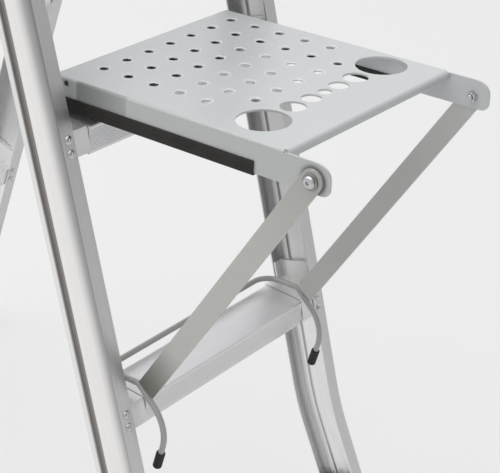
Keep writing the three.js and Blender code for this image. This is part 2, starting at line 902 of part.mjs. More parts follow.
// Top sheet with both side bends, down to where the side plates start
function trayChannel() {
  const { sheet, bend } = tray;
  const corner = trayHalfWidth - bend;
  const outline = [
    ...arc(corner, -bend, bend, 0, Math.PI / 2, bendSteps),
    ...arc(-corner, -bend, bend, Math.PI / 2, Math.PI, bendSteps),
    new THREE.Vector2(-trayHalfWidth, -bend * 2),
    new THREE.Vector2(-trayHalfWidth + sheet, -bend * 2),
    ...arc(-corner, -bend, bend - sheet, Math.PI, Math.PI / 2, bendSteps),
    ...arc(corner, -bend, bend - sheet, Math.PI / 2, 0, bendSteps),
    new THREE.Vector2(trayHalfWidth - sheet, -bend * 2),
    new THREE.Vector2(trayHalfWidth, -bend * 2),
  ];
  return alongY(outline, -tray.front + tray.lipRadius, tray.back - tray.bend);
}

// Side flange that runs on into the ear
function sidePlate(side) {
  const shape = new THREE.Shape();
  const start = -tray.front + ear.startBehind;
  const tip = -tray.front - ear.tipAhead;
  const top = -tray.flangeDrop * ear.topShare;
  shape.moveTo(tray.back, -tray.bend);
  shape.lineTo(start, -tray.bend);
  shape.lineTo(start, top);
  shape.lineTo(-tray.front - ear.topAhead, top);
  shape.quadraticCurveTo(tip, top, tip, -tray.flangeDrop * ear.tipShare);
  shape.lineTo(tip, -tray.flangeDrop * ear.chinShare);
  shape.quadraticCurveTo(tip, -tray.flangeDrop, -tray.front - ear.chinAhead, -tray.flangeDrop);
  shape.lineTo(tray.back, -tray.flangeDrop);
  return acrossX(shape, side * (trayHalfWidth - tray.sheet), side * trayHalfWidth);
}

function frontLip() {
  const reach = trayHalfWidth - tray.sheet - tray.notch;
  const outline = foldOutline(tray.front, tray.lipRadius, tray.lipDrop, tray.lipHem);
  return acrossX(outline.map((point) => new THREE.Vector2(-point.x, point.y)), -reach, reach);
}

function backFold() {
  const reach = trayHalfWidth - tray.bend;
  return acrossX(foldOutline(tray.back, tray.bend, tray.backDrop, 0), -reach, reach);
}

// Relief at each front corner, where the lip and the ear part
function cornerReliefs() {
  return [-1, 1].map((side) => {
    const inner = trayHalfWidth - tray.sheet - tray.notch;
    const xs = [side * inner, side * (trayHalfWidth - tray.sheet)];
    const low = [Math.min(...xs), -tray.front - overrun, -tray.lipDrop - overrun];
    const high = [Math.max(...xs), -tray.front + tray.lipRadius + tray.notch, overrun];
    return boxBetween(low, high);
  });
}

// Cutter for one small hole, dished from above
function dishedHole(x, y) {
  const below = -tray.sheet - overrun;
  const profile = points2([
    [0, below],
    [grid.radius, below],
    [grid.radius, -grid.dishDepth],
    [grid.dish, 0],
    [grid.dish, overrun],
    [0, overrun],
  ]);
  const cutter = new THREE.LatheGeometry(profile, grid.sides);
  cutter.rotateX(Math.PI / 2);
  return cutter.translate(x, y, 0);
}

function gridHoles() {
  const holes = [];
  const pitch = trayHalfWidth * grid.pitchShare;
  const rowPitch = Math.min(pitch, (tray.front - toolRow.behind) / grid.rows);
  for (let row = 0; row < grid.rows; row += 1) {
    const inset = row === grid.rows - 1 ? 1 : 0;
    for (let column = inset; column < grid.columns - inset; column += 1) {
      const x = trayHalfWidth * grid.shiftShare + (column - (grid.columns - 1) / 2) * pitch;
      holes.push(dishedHole(x, -row * rowPitch));
    }
  }
  return holes;
}

function toolHoles() {
  return toolPlaceShares.map((placeShare, i) => {
    const radius = trayHalfWidth * toolRadiusShares[i];
    const x = trayHalfWidth * (toolRow.shiftShare + placeShare);
    const cutter = new THREE.CylinderGeometry(radius, radius, (tray.sheet + overrun) * 2, toolRow.sides);
    cutter.rotateX(Math.PI / 2);
    return cutter.translate(x, toolRow.behind - tray.front, 0);
  });
}

function earBores() {
  return [-1, 1].map((side) => {
    const from = side * (trayHalfWidth - tray.sheet - overrun);
    const bore = roundAlongX(earBolt.shank + fit, from, side * (trayHalfWidth + overrun));
    return bore.translate(...earBoltPlace.toArray());
  });
}

// Round relief near the back corner of each side flange
function cornerEyelets() {
  return [-1, 1].map((side) => {
    const from = side * (trayHalfWidth - tray.sheet - overrun);
    const eyelet = roundAlongX(tray.eyeletRadius, from, side * (trayHalfWidth + overrun));
    return eyelet.translate(0, tray.back - tray.eyeletAhead, -tray.eyeletBelow);
  });
}

function trayGeometry() {
  const sheetMetal = join(trayChannel(), sidePlate(-1), sidePlate(1), frontLip(), backFold());
  const openings = [...cornerReliefs(), ...cornerEyelets(), ...gridHoles(), ...toolHoles(), ...earBores()];
  return cut(sheetMetal, ...openings);
}

// Rubber channel over a flange's lower edge, ribbed outside
function edgeStrip(side) {
  const outer = trayHalfWidth + fit;
  const inner = trayHalfWidth - tray.sheet - fit;
  const floor = -tray.flangeDrop - fit;
  const high = strip.grip - tray.flangeDrop;
  const low = floor - strip.wall;
  const points = [[inner, high], [inner, floor], [outer, floor], [outer, high]];
  const ribPitch = (high - low) / strip.ribs;
  const flank = ribPitch * strip.ribFlankShare;
  const skin = outer + strip.wall;
  for (let i = 0; i < strip.ribs; i += 1) {
    const top = high - i * ribPitch;
    points.push([skin - strip.ribHeight, top]);
    points.push([skin, top - flank]);
    points.push([skin, top - ribPitch + flank]);
  }
  points.push([skin - strip.ribHeight, low]);
  points.push([inner - strip.wall + strip.ribHeight, low]);
  points.push([inner - strip.wall, low + strip.ribHeight]);
  points.push([inner - strip.wall, high]);
  const outline = points2(points.map(([x, z]) => [side * x, z]));
  return alongY(outline, strip.behind - tray.front, tray.back);
}

// Places in the whole ladder's axes, with the hinge over Y = 0

// Front edge of a front tread's nose at its top
function treadFront(number) {
  const height = treadHeight(number);
  const y = outerPlane * Math.cos(lean) + alongRail(height, outerPlane) * Math.sin(lean) - tread.proud;
  return new THREE.Vector3(0, y, height);
}

// The tray rests its back fold on a tread, a little ahead of the tread's back edge
function trayPlace() {
  const front = treadFront(trayTreadCount);
  const sin = Math.sin(tray.tilt);
  const cos = Math.cos(tray.tilt);
  const y = front.y + treadDepth - tray.backInset - tray.back * cos + tray.backDrop * sin;
  const z = front.z + fit + tray.back * sin + tray.backDrop * cos;
  return new THREE.Vector3(0, y, z);
}

function earBoltAxis() {
  return earBoltPlace.clone().applyAxisAngle(xAxis, -tray.tilt).add(trayPlace());
}

// Struts and bail. Their own origin is the ear bolts' axis, and their axes are level.

// A spot given behind the lower tread's front edge and above its top
function fromLowerTread(behind, above) {
  const spot = treadFront(trayTreadCount - 1).add(new THREE.Vector3(0, behind, above));
  return spot.sub(earBoltAxis());
}

class Route {
  constructor(start, heading) {
    this.at = start.clone();
    this.heading = heading.clone().normalize();
    this.points = [start.clone()];
  }

  straight(length) {
    this.at.addScaledVector(this.heading, length);
    this.points.push(this.at.clone());
    return this;
  }

  bend(radius, angle, axis, steps) {
    const part = angle / steps;
    const chord = 2 * radius * Math.sin(part / 2);
    for (let i = 0; i < steps; i += 1) {
      this.heading.applyAxisAngle(axis, part / 2);
      this.at.addScaledVector(this.heading, chord);
      this.heading.applyAxisAngle(axis, part / 2);
      this.points.push(this.at.clone());
    }
    return this;
  }
}

// Half of the bail's centre line, from the middle of its bar to the tip of one hook
function bailHalf(endCut) {
  const arm = new THREE.Vector3(0, -Math.cos(bail.armRise), Math.sin(bail.armRise));
  const plan = new THREE.Vector3().crossVectors(xAxis, arm);
  const barBehind = treadDepth + bail.barBehind;
  const armX = trayHalfWidth + fit + strut.thickness / 2;
  const armLength = (barBehind - bail.cornerRadius - bail.armShort) / Math.cos(bail.armRise);
  return new Route(fromLowerTread(barBehind, bail.barAbove), xAxis)
    .straight(armX - bail.cornerRadius)
    .bend(bail.cornerRadius, Math.PI / 2, plan, bail.cornerSteps)
    .straight(armLength)
    .bend(bail.shoulderRadius, bail.shoulderTurn, xAxis, bail.shoulderSteps)
    .straight(bail.shoulderLength)
    .bend(bail.hookRadius, bail.hookTurn, xAxis, bail.hookSteps)
    .straight(bail.hookEnd - endCut);
}

// A round bar along a line of points
function roundBar(points, radius, sides) {
  const outline = arc(0, 0, radius, 0, 2 * Math.PI, sides).slice(1);
  const tangentAt = (i) => {
    const before = points[Math.max(i - 1, 0)];
    const after = points[Math.min(i + 1, points.length - 1)];
    return after.clone().sub(before).normalize();
  };
  let normal = new THREE.Vector3(0, 0, 1);
  const rings = points.map((point, i) => {
    const tangent = tangentAt(i);
    normal = normal.clone().addScaledVector(tangent, -normal.dot(tangent)).normalize();
    const across = new THREE.Vector3().crossVectors(tangent, normal);
    return outline.map((spot) => {
      return point.clone().addScaledVector(normal, spot.x).addScaledVector(across, spot.y);
    });
  });
  return loft(rings, outline);
}

function bailGeometry(radius) {
  const half = bailHalf(rodCap.end + fit).points;
  const mirrored = half.slice(1).reverse().map((point) => new THREE.Vector3(-point.x, point.y, point.z));
  return roundBar([...mirrored, ...half.slice(1)], radius, bail.sides);
}

// Strut from its round eye down to the end that the bail's shoulder is welded under
function strutGeometry(side) {
  const half = strut.width / 2;
  const end = fromLowerTread(strut.endBehind, strut.endAbove);
  const outline = [
    ...arc(0, 0, half, 0, Math.PI, bendSteps * 2),
    new THREE.Vector2(-half, -end.length()),
    new THREE.Vector2(half, -end.length()),
  ];
  const from = trayHalfWidth + fit;
  const to = from + strut.thickness;
  const bar = acrossX(outline, side * from, side * to);
  const bore = roundAlongX(earBolt.shank + fit, side * (from - overrun), side * (to + overrun));
  const placed = cut(bar, bore).rotateX(Math.atan2(end.y, -end.z));
  return cut(placed, bailGeometry(bail.radius + fit));
}

// Rubber cap on a hook's end
function rodCapMesh(side) {
  const { radius, length, end, edge, sides } = rodCap;
  const bore = bail.radius + fit;
  const profile = points2([
    [0, 0],
    [radius - edge, 0],
    [radius, edge],
    [radius, length - edge / 2],
    [radius - edge / 2, length],
    [bore, length],
    [bore, end],
    [0, end],
  ]);
  const route = bailHalf(0);
  const sideName = side < 0 ? 'left' : 'right';
  const mesh = meshOf(`bail_cap_${sideName}`, new THREE.LatheGeometry(profile, sides), blackRubber());
  const back = route.heading.clone().negate();
  mesh.quaternion.setFromUnitVectors(new THREE.Vector3(0, 1, 0), back);
  mesh.position.set(side * route.at.x, route.at.y, route.at.z);
  return mesh;
}

function stayGroup() {
  const group = new THREE.Group();
  for (const side of [-1, 1]) {
    const sideName = side < 0 ? 'left' : 'right';
    group.add(meshOf(`strut_${sideName}`, strutGeometry(side), paintedSteel()));
    group.add(rodCapMesh(side));
  }
  group.add(meshOf('bail_rod', bailGeometry(bail.radius), paintedSteel()));
  return group;
}

function trayAssembly() {
  const group = new THREE.Group();
  const tilted = new THREE.Group();
  tilted.position.copy(trayPlace());
  tilted.rotation.x = -tray.tilt;
  tilted.add(meshOf('tray', trayGeometry(), paintedSteel()));
  const strutOut = trayHalfWidth + fit + strut.thickness;
  for (const side of [-1, 1]) {
    const sideName = side < 0 ? 'left' : 'right';
    tilted.add(meshOf(`edge_strip_${sideName}`, edgeStrip(side), blackRubber()));
    const set = fastenerSet('ear', side, earBolt, trayHalfWidth - tray.sheet, strutOut);
    set.position.copy(earBoltPlace);
    tilted.add(set);
  }
  const stay = stayGroup();
  stay.position.copy(earBoltAxis());
  group.add(tilted, stay);
  return group;
}

const ladder = new THREE.Group();
ladder.add(frontFrame(), rearFrame(), trayAssembly());

// The origin is on the floor, in the middle of the whole outline
const bounds = new THREE.Box3().setFromObject(ladder, true);
ladder.position.y = -(bounds.min.y + bounds.max.y) / 2;

export default ladder;
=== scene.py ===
# Step ladder with a perforated tool tray hooked on its front treads
import bmesh
import bpy
import json
import math
from mathutils import Matrix, Vector


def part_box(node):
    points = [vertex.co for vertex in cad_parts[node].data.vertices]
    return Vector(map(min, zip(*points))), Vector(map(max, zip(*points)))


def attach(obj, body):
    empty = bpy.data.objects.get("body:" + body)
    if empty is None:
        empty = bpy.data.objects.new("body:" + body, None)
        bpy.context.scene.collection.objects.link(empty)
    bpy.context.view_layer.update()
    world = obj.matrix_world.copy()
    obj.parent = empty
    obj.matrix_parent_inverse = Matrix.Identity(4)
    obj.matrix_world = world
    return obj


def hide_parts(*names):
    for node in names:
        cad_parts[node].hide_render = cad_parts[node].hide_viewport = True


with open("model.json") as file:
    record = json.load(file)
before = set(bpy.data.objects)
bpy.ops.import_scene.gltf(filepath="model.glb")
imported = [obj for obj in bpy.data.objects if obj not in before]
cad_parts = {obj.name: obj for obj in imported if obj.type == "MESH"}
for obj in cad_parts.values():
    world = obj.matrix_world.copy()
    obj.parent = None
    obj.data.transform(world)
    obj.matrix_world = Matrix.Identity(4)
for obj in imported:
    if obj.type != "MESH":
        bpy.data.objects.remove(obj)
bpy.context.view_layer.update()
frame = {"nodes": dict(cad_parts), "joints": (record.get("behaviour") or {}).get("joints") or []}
nodes = frame["nodes"]
joints = {joint["name"]: joint for joint in frame["joints"]}
hingeSpot = Vector(joints["rear_fold"]["pos_m"])
earSpot = Vector(joints["strut_swing"]["pos_m"])
sideOf = {"left": -1, "right": 1}
print("stage: frame loaded")

# Sizes that several pieces share, in metres and radians
ladder = {
    "lean": math.radians(17.27),
    "halfWidth": {"front": 0.1748, "rear": 0.1424},
    "closedGap": 0.0275,
    "firstTread": 0.3,
    "treadPitch": 0.28,
    "railDepth": 0.055,
    "flange": 0.0187,
    "wall": 0.0019,
    "corner": 0.0012,
    "trayTilt": math.radians(3.5),
}
outerPlane = -(ladder["closedGap"] / 2 + ladder["railDepth"])
treadNumbers = (1, 2, 3)
flatFaceWeight = 80


# Small mesh helpers

def newObject(name, data):
    piece = bpy.data.objects.new(name, data)
    bpy.context.scene.collection.objects.link(piece)
    return piece


def pieceFromBmesh(name, work):
    mesh = bpy.data.meshes.new(name)
    bmesh.ops.recalc_face_normals(work, faces=work.faces)
    work.to_mesh(mesh)
    work.free()
    return newObject(name, mesh)


def plainMesh(piece):
    graph = bpy.context.evaluated_depsgraph_get()
    return bpy.data.meshes.new_from_object(piece.evaluated_get(graph))


def bakeModifiers(piece):
    # Turns the modified shape into the piece's own plain mesh
    result = plainMesh(piece)
    old = piece.data
    piece.modifiers.clear()
    piece.data = result
    bpy.data.meshes.remove(old)
    return piece


def smoothByAngle(piece, degrees):
    work = bmesh.new()
    work.from_mesh(piece.data)
    limit = math.radians(degrees)
    for face in work.faces:
        face.smooth = True
    for edge in work.edges:
        edge.smooth = len(edge.link_faces) == 2 and edge.calc_face_angle(0) < limit
    work.to_mesh(piece.data)
    work.free()
    return piece


def settleNormals(piece, degrees):
    # Smooth shading within an angle, with the flat faces kept flat
    smoothByAngle(piece, degrees)
    modifier = piece.modifiers.new("weighted", "WEIGHTED_NORMAL")
    modifier.keep_sharp = True
    modifier.weight = flatFaceWeight
    return bakeModifiers(piece)


def bevelEdges(piece, width, degrees, segments=2):
    edge = piece.modifiers.new("edge", "BEVEL")
    edge.width = width
    edge.segments = segments
    edge.limit_method = "ANGLE"
    edge.angle_limit = math.radians(degrees)
    return bakeModifiers(piece)


def skinRows(work, rows, closed=False):
    # Faces between neighbouring rows of vertices, where a row may be a single point
    count = max(map(len, rows))
    for low, high in zip(rows, rows[1:] + rows[:1] if closed else rows[1:]):
        for i in range(count):
            j = (i + 1) % count
            ring = [low[i % len(low)], low[j % len(low)], high[j % len(high)], high[i % len(high)]]
            work.faces.new([vert for k, vert in enumerate(ring) if vert not in ring[:k]])


def ringLoft(name, rings):
    # A skin through rings of equally many points, with both ends filled
    work = bmesh.new()
    rows = [[work.verts.new(point) for point in ring] for ring in rings]
    skinRows(work, rows)
    work.faces.new(list(reversed(rows[0])))
    work.faces.new(rows[-1])
    return pieceFromBmesh(name, work)


def dress(piece, body, material, slot, *replaced):
    # Material and body of a finished piece; its record slot is not used
    piece.data.materials.clear()
    piece.data.materials.append(material)
    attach(piece, body)
    if replaced:
        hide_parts(*replaced)
    return piece


# Node helpers

def addNode(tree, kind, inputs=None, **settings):
    # Its inputs are linked where a socket is given for them, and set otherwise
    node = tree.nodes.new(kind)
    for name, value in settings.items():
        setattr(node, name, value)
    for name, value in (inputs or {}).items():
        if isinstance(value, bpy.types.NodeSocket):
            tree.links.new(value, node.inputs[name])
        else:
            node.inputs[name].default_value = value
    return node


def mathNode(tree, operation, *values):
    return addNode(tree, "ShaderNodeMath", dict(enumerate(values)), operation=operation).outputs[0]


def startGroup(name, inputs, outputs, tree="Shader", result="Float"):
    # A node group, with the sockets that it is given and those that it puts out
    group = bpy.data.node_groups.new(name, tree + "NodeTree")
    for label, kind in inputs.items():
        group.interface.new_socket(label, in_out="INPUT", socket_type="NodeSocket" + kind)
    for label in outputs:
        group.interface.new_socket(label, in_out="OUTPUT", socket_type="NodeSocket" + result)
    return group, group.nodes.new("NodeGroupInput").outputs, group.nodes.new("NodeGroupOutput").inputs


# Shader node groups and materials

def vectorNode(tree, operation, *values):
    return addNode(tree, "ShaderNodeVectorMath", dict(enumerate(values)), operation=operation).outputs


def rangeNode(tree, *values):
    # A value, the range that it is in and the range that it is brought to
    return addNode(tree, "ShaderNodeMapRange", dict(enumerate(values))).outputs["Result"]


noiseDetail = {"Lines": 3, "Broad": 2, "Speck": 2, "Patches": 4}


def addNoise(tree, place, scale, target, label):
    noise = addNode(tree, "ShaderNodeTexNoise", {"Vector": place, "Scale": scale, "Detail": noiseDetail[label]})
    tree.links.new(noise.outputs["Fac"], target[label])


broadScale = 0.16
maskSpec = {"steepness": 20, "underSteepness": 3}


def makeGrainGroup():
    # Drawn lines of an extruded profile: noise stretched along a turned Z axis
    inputs = {"Vector": "Vector", "Turn": "Vector", "Across": "Float", "Along": "Float"}
    group, given, target = startGroup("drawnGrain", inputs, ("Lines", "Broad"))
    turn = addNode(group, "ShaderNodeVectorRotate", {
        "Vector": given["Vector"],
        "Rotation": given["Turn"],
    }, rotation_type="EULER_XYZ")
    stretch = addNode(group, "ShaderNodeCombineXYZ", {0: given["Across"], 1: given["Across"], 2: given["Along"]})
    fine = vectorNode(group, "MULTIPLY", turn.outputs["Vector"], stretch.outputs[0])[0]
    broad = addNode(group, "ShaderNodeVectorMath", {0: fine, "Scale": broadScale}, operation="SCALE")
    addNoise(group, fine, 1, target, "Lines")
    addNoise(group, broad.outputs[0], 1, target, "Broad")
    return group


def makeSpeckGroup():
    # Fine even texture of paint, rubber or moulded plastic, and slow patches over it
    inputs = {"Vector": "Vector", "Fine": "Float", "Patch": "Float"}
    group, given, target = startGroup("surfaceSpeck", inputs, ("Speck", "Patches"))
    addNoise(group, given["Vector"], given["Fine"], target, "Speck")
    addNoise(group, given["Vector"], given["Patch"], target, "Patches")
    return group


def makeFacingGroup():
    # One on faces that look away from the middle plane, towards it, and down or forwards
    inputs = {"Vector": "Vector", "Facing": "Vector"}
    group, given, target = startGroup("facingMasks", inputs, ("Outward", "Inward", "Hidden"))
    place = addNode(group, "ShaderNodeSeparateXYZ", {0: given["Vector"]}).outputs
    facing = addNode(group, "ShaderNodeSeparateXYZ", {0: given["Facing"]}).outputs
    away = mathNode(group, "MULTIPLY", place[0], facing[0])
    steep, underSteep = maskSpec["steepness"], maskSpec["underSteepness"]
    under = mathNode(group, "MULTIPLY", mathNode(group, "MINIMUM", facing[1], facing[2]), -underSteep)
    for label, value in (
        ("Outward", mathNode(group, "MULTIPLY", away, steep)),
        ("Inward", mathNode(group, "MULTIPLY", away, -steep)),
        ("Hidden", mathNode(group, "SUBTRACT", under, 1)),
    ):
        group.links.new(mathNode(group, "MAXIMUM", mathNode(group, "MINIMUM", value, 1), 0), target[label])
    return group


drawnGrain = makeGrainGroup()
surfaceSpeck = makeSpeckGroup()
facingMasks = makeFacingGroup()
patternRange = (0.3, 0.7)
bumpDistance = 0.0002


def startMaterial(name):
    material = bpy.data.materials.new(name)
    material.use_nodes = True
    return material, material.node_tree, material.node_tree.nodes["Principled BSDF"]


def makeFinish(name, group, spec, labels, tones, sheen, relief):
    # Outputs of the group pick the colour, the roughness and the bump
    material, tree, shader = startMaterial(name)
    place = tree.nodes.new("ShaderNodeTexCoord")
    pattern = addNode(tree, "ShaderNodeGroup", node_tree=group)
    tree.links.new(place.outputs["Object"], pattern.inputs["Vector"])
    for label in labels:
        pattern.inputs[label].default_value = spec[label.lower()]
    shader.inputs["Metallic"].default_value = spec["metallic"]
    colour = addNode(tree, "ShaderNodeMix", {
        "Factor": pattern.outputs[tones],
        "A": (*spec["dark"], 1),
        "B": (*spec["light"], 1),
    }, data_type="RGBA")
    roughness = rangeNode(tree, pattern.outputs[sheen], *patternRange, *spec["roughness"])
    bump = addNode(tree, "ShaderNodeBump", {
        "Strength": spec["bump"],
        "Distance": bumpDistance,
        "Height": pattern.outputs[relief],
    })
    tree.links.new(colour.outputs["Result"], shader.inputs["Base Color"])
    tree.links.new(roughness, shader.inputs["Roughness"])
    tree.links.new(bump.outputs["Normal"], shader.inputs["Normal"])
    return material


def drawnMetal(name, spec):
    return makeFinish(name, drawnGrain, spec, ("Turn", "Across", "Along"), "Broad", "Lines", "Lines")


def speckledFinish(name, spec):
    return makeFinish(name, surfaceSpeck, spec, ("Fine", "Patch"), "Patches", "Patches", "Speck")


def shadeByPlace(material, direction, offset, reach, stops, mask="Outward", centre=None):
    # Paints light and shade into the colour of the masked faces by stops, along a direction or, with a centre, by
    # the distance in Y and Z
    tree = material.node_tree
    target = tree.nodes["Principled BSDF"].inputs["Base Color"]
    colour = target.links[0].from_socket
    place = next(node for node in tree.nodes if node.type == "TEX_COORD").outputs
    if centre:
        level = vectorNode(tree, "MULTIPLY", place["Object"], (0, 1, 1))[0]
        along = vectorNode(tree, "DISTANCE", level, (0, centre.y, centre.z))
    else:
        along = vectorNode(tree, "DOT_PRODUCT", place["Object"], direction)
    share = rangeNode(tree, along["Value"], offset, offset + reach)
    ramp = addNode(tree, "ShaderNodeValToRGB", {"Fac": share})
    while len(ramp.color_ramp.elements) < len(stops):
        ramp.color_ramp.elements.new(0.5)
    for element, (position, tone) in zip(ramp.color_ramp.elements, stops):
        element.position = position
        element.color = (*tone, 1)
    facing = addNode(tree, "ShaderNodeGroup", node_tree=facingMasks)
    tree.links.new(place["Object"], facing.inputs["Vector"])
    tree.links.new(place["Normal"], facing.inputs["Facing"])
    mix = addNode(tree, "ShaderNodeMix", {
        "Factor": facing.outputs[mask],
        "A": colour,
        "B": ramp.outputs["Color"],
    }, data_type="RGBA", blend_type="MULTIPLY")
    tree.links.new(mix.outputs["Result"], target)


# The rails' base colour is kept dark as painted shade on their flanges; their outer faces are painted lighter
# below
profileLook = {
    "turn": (ladder["lean"], 0, 0),
    "across": 700,
    "along": 4,
    "metallic": 0.9,
    "dark": (0.55, 0.55, 0.55),
    "light": (0.64, 0.64, 0.64),
    "roughness": (0.28, 0.4),
    "bump": 0.12,
}
frontRailMetal = drawnMetal("frontRailMetal", profileLook)
rearRailMetal = drawnMetal("rearRailMetal", {**profileLook, "turn": (-ladder["lean"], 0, 0)})
# Painted light and shade: the outer face is painted lighter than the dark base across its depth, with painted
# shade in its groove, and painted shade on its front corner, which darkens up the rail
railLightAndShadeStops = (
    (0, (1.54, 1.52, 1.51)),
    (0.655, (1.54, 1.52, 1.5)),
    (0.675, (0.48, 0.46, 0.44)),
    (0.84, (0.62, 0.59, 0.57)),
    (0.89, (1.47, 1.45, 1.44)),
    (1, (1.45, 1.45, 1.45)),
)
cornerShadeStops = (
    (0, (0.34, 0.34, 0.35)),
    (0.14, (0.5, 0.5, 0.51)),
    (0.27, (0.84, 0.84, 0.84)),
    (0.37, (1, 1, 1)),
)
cornerShadeSpec = {"tilt": 0.019, "level": 0.35}
# Painted light: the inner faces are painted lighter low down, below a height of 0.36 m
innerLightSpec = {"start": -0.36, "reach": 0.1, "stops": ((0, (1, 1, 1)), (1, (1.53, 1.53, 1.52)))}
for railMetal, facing in ((frontRailMetal, 1), (rearRailMetal, -1)):
    acrossRail = Vector((0, facing * math.cos(ladder["lean"]), -math.sin(ladder["lean"])))
    railStart = acrossRail.dot(hingeSpot) + outerPlane
    shadeByPlace(railMetal, acrossRail, railStart, ladder["railDepth"], railLightAndShadeStops)
    alongRailAxis = Vector((0, facing * math.sin(ladder["lean"]), math.cos(ladder["lean"])))
    tilted = acrossRail - cornerShadeSpec["tilt"] * alongRailAxis
    middle = hingeSpot + outerPlane * acrossRail - cornerShadeSpec["level"] * alongRailAxis
    shadeByPlace(railMetal, tilted, tilted.dot(middle), ladder["railDepth"], cornerShadeStops)
    shadeByPlace(railMetal, (0, 0, -1), innerLightSpec["start"], innerLightSpec["reach"], innerLightSpec["stops"], "Inward")
treadMetal = drawnMetal("treadMetal", {
    **profileLook,
    "turn": (0, math.pi / 2, 0),
    "metallic": 0.6,
    "dark": (0.79, 0.79, 0.805),
    "light": (0.86, 0.86, 0.875),
    "roughness": (0.34, 0.46),
    "bump": 0.05,
})
castMetal = speckledFinish("castMetal", {
    "fine": 900,
    "patch": 30,
    "metallic": 0.7,
    "dark": (0.77, 0.77, 0.765),
    "light": (0.87, 0.87, 0.865),
    "roughness": (0.36, 0.5),
    "bump": 0.15,
})
paintLook = {"fine": 1300, "patch": 9, "metallic": 0.12, "roughness": (0.34, 0.44), "bump": 0.08}
trayPaint = speckledFinish("trayPaint", {
    **paintLook,
    "dark": (0.632, 0.653, 0.659),
    "light": (0.675, 0.697, 0.707),
})
# Painted reflection and shade on the tray run from its rear edge to the tips of its ears
trayShadeRun = ((0, -1, 0), 0.0777, 0.34)
# Painted reflection of the near rail: a darker band on the outward faces a little in front of the rear edge
shadeByPlace(trayPaint, *trayShadeRun, (
    (0, (0.94, 0.94, 0.92)),
    (0.092, (0.94, 0.94, 0.92)),
    (0.1, (0.5, 0.5, 0.49)),
    (0.19, (0.56, 0.56, 0.55)),
    (0.284, (0.7, 0.7, 0.69)),
    (0.292, (0.9, 0.9, 0.88)),
    (1, (0.9, 0.9, 0.88)),
))
# Painted shade under the tray: faces that look down or forwards are dark near the rear
shadeByPlace(trayPaint, *trayShadeRun, (
    (0, (0.08, 0.08, 0.08)),
    (0.3, (0.12, 0.12, 0.12)),
    (0.37, (1, 1, 1)),
), "Hidden")
# Painted shadow of the strut's end: a dark ring on the ear round the near ear's bolt
earShadowSpec = {"from": 0.0105, "reach": 0.008}
shadeByPlace(trayPaint, None, earShadowSpec["from"], earShadowSpec["reach"], (
    (0, (0.36, 0.36, 0.36)),
    (0.3, (0.42, 0.42, 0.42)),
    (0.62, (0.9, 0.9, 0.9)),
    (1, (1, 1, 1)),
), "Outward", earSpot)
# A darker copy of the tray paint, as painted shade on the struts
strutShadedPaint = speckledFinish("strutShadedPaint", {
    **paintLook,
    "dark": (0.594, 0.599, 0.578),
    "light": (0.636, 0.641, 0.62),
    "roughness": (0.3, 0.4),
})
# A darker copy of the tray paint, as painted shade on the rod
rodShadedPaint = speckledFinish("rodShadedPaint", {
    **paintLook,
    "dark": (0.445, 0.451, 0.435),
    "light": (0.488, 0.493, 0.477),
    "roughness": (0.26, 0.36),
})
# A lighter, glossier copy of the tray paint, as a painted highlight on the pressed rims round the holes
rimHighlightPaint = speckledFinish("rimHighlightPaint", {
    **paintLook,
    "dark": (0.735, 0.751, 0.756),
    "light": (0.777, 0.793, 0.798),
    "roughness": (0.24, 0.3),
    "bump": 0.06,
})
steelLook = {"fine": 600, "patch": 120, "metallic": 1, "bump": 0.1}
zincSteel = speckledFinish("zincSteel", {
    **steelLook,
    "dark": (0.5, 0.5, 0.51),
    "light": (0.68, 0.68, 0.7),
    "roughness": (0.24, 0.38),
})
darkSteel = speckledFinish("darkSteel", {
    **steelLook,
    "dark": (0.26, 0.26, 0.25),
    "light": (0.36, 0.36, 0.35),
    "roughness": (0.3, 0.42),
})
stripRubber = speckledFinish("stripRubber", {
    "fine": 2200,
    "patch": 40,
    "metallic": 0,
    "dark": (0.011, 0.01, 0.009),
    "light": (0.02, 0.0175, 0.0155),
    "roughness": (0.55, 0.75),
    "bump": 0.3,
})
footPlastic = speckledFinish("footPlastic", {
    "fine": 1800,
    "patch": 35,
    "metallic": 0,
    "dark": (0.03, 0.03, 0.033),
    "light": (0.05, 0.05, 0.054),
    "roughness": (0.5, 0.68),
    "bump": 0.3,
})
print("stage: materials made")


# Pieces that keep the solid's shape and get rounded edges

mergeSpec = {"distance": 1e-6, "flat": math.radians(0.6), "bevelFrom": 30, "smooth": 38}
softEdge = {"tread": 0.0003, "bracket": 0.0005, "plastic": 0.0006, "plate": 0.0004, "nut": 0.0005}


def softened(node, width):
    spec = mergeSpec
    work = bmesh.new()
    work.from_mesh(nodes[node].data)
    bmesh.ops.remove_doubles(work, verts=work.verts, dist=spec["distance"])
    bmesh.ops.dissolve_limit(work, angle_limit=spec["flat"], verts=work.verts, edges=work.edges)
    mesh = bpy.data.meshes.new(node + "_soft")
    work.to_mesh(mesh)
    work.free()
    piece = bevelEdges(newObject(node + "_soft", mesh), width, spec["bevelFrom"])
    return settleNormals(piece, spec["smooth"])


def softenedSet(names, width, body, material, slot):
    for node in names:
        dress(softened(node, width), body, material, slot, node)


for frameName in ("front", "rear"):
    body = frameName + "_frame"
    treads = [f"{frameName}_tread_{n}" for n in treadNumbers]
    softenedSet(treads, softEdge["tread"], body, treadMetal, "aluminium_profile")
    brackets = [f"{frameName}_bracket_{side}_{n}" for side in sideOf for n in treadNumbers]
    softenedSet(brackets, softEdge["bracket"], body, castMetal, "cast_bracket")
    plastic = [f"{frameName}_{kind}_{side}" for kind in ("foot", "cap") for side in sideOf]
    softenedSet(plastic, softEdge["plastic"], body, footPlastic, "foot_plastic")
    plates = [f"hinge_{frameName}_plate_{side}" for side in sideOf]
    softenedSet(plates, softEdge["plate"], body, zincSteel, "zinc_steel")
for kind, body in (("hinge", "front_frame"), ("ear", "tray")):
    softenedSet([f"{kind}_nut_{side}" for side in sideOf], softEdge["nut"], body, zincSteel, "zinc_steel")
print("stage: softened pieces made")


# Rails

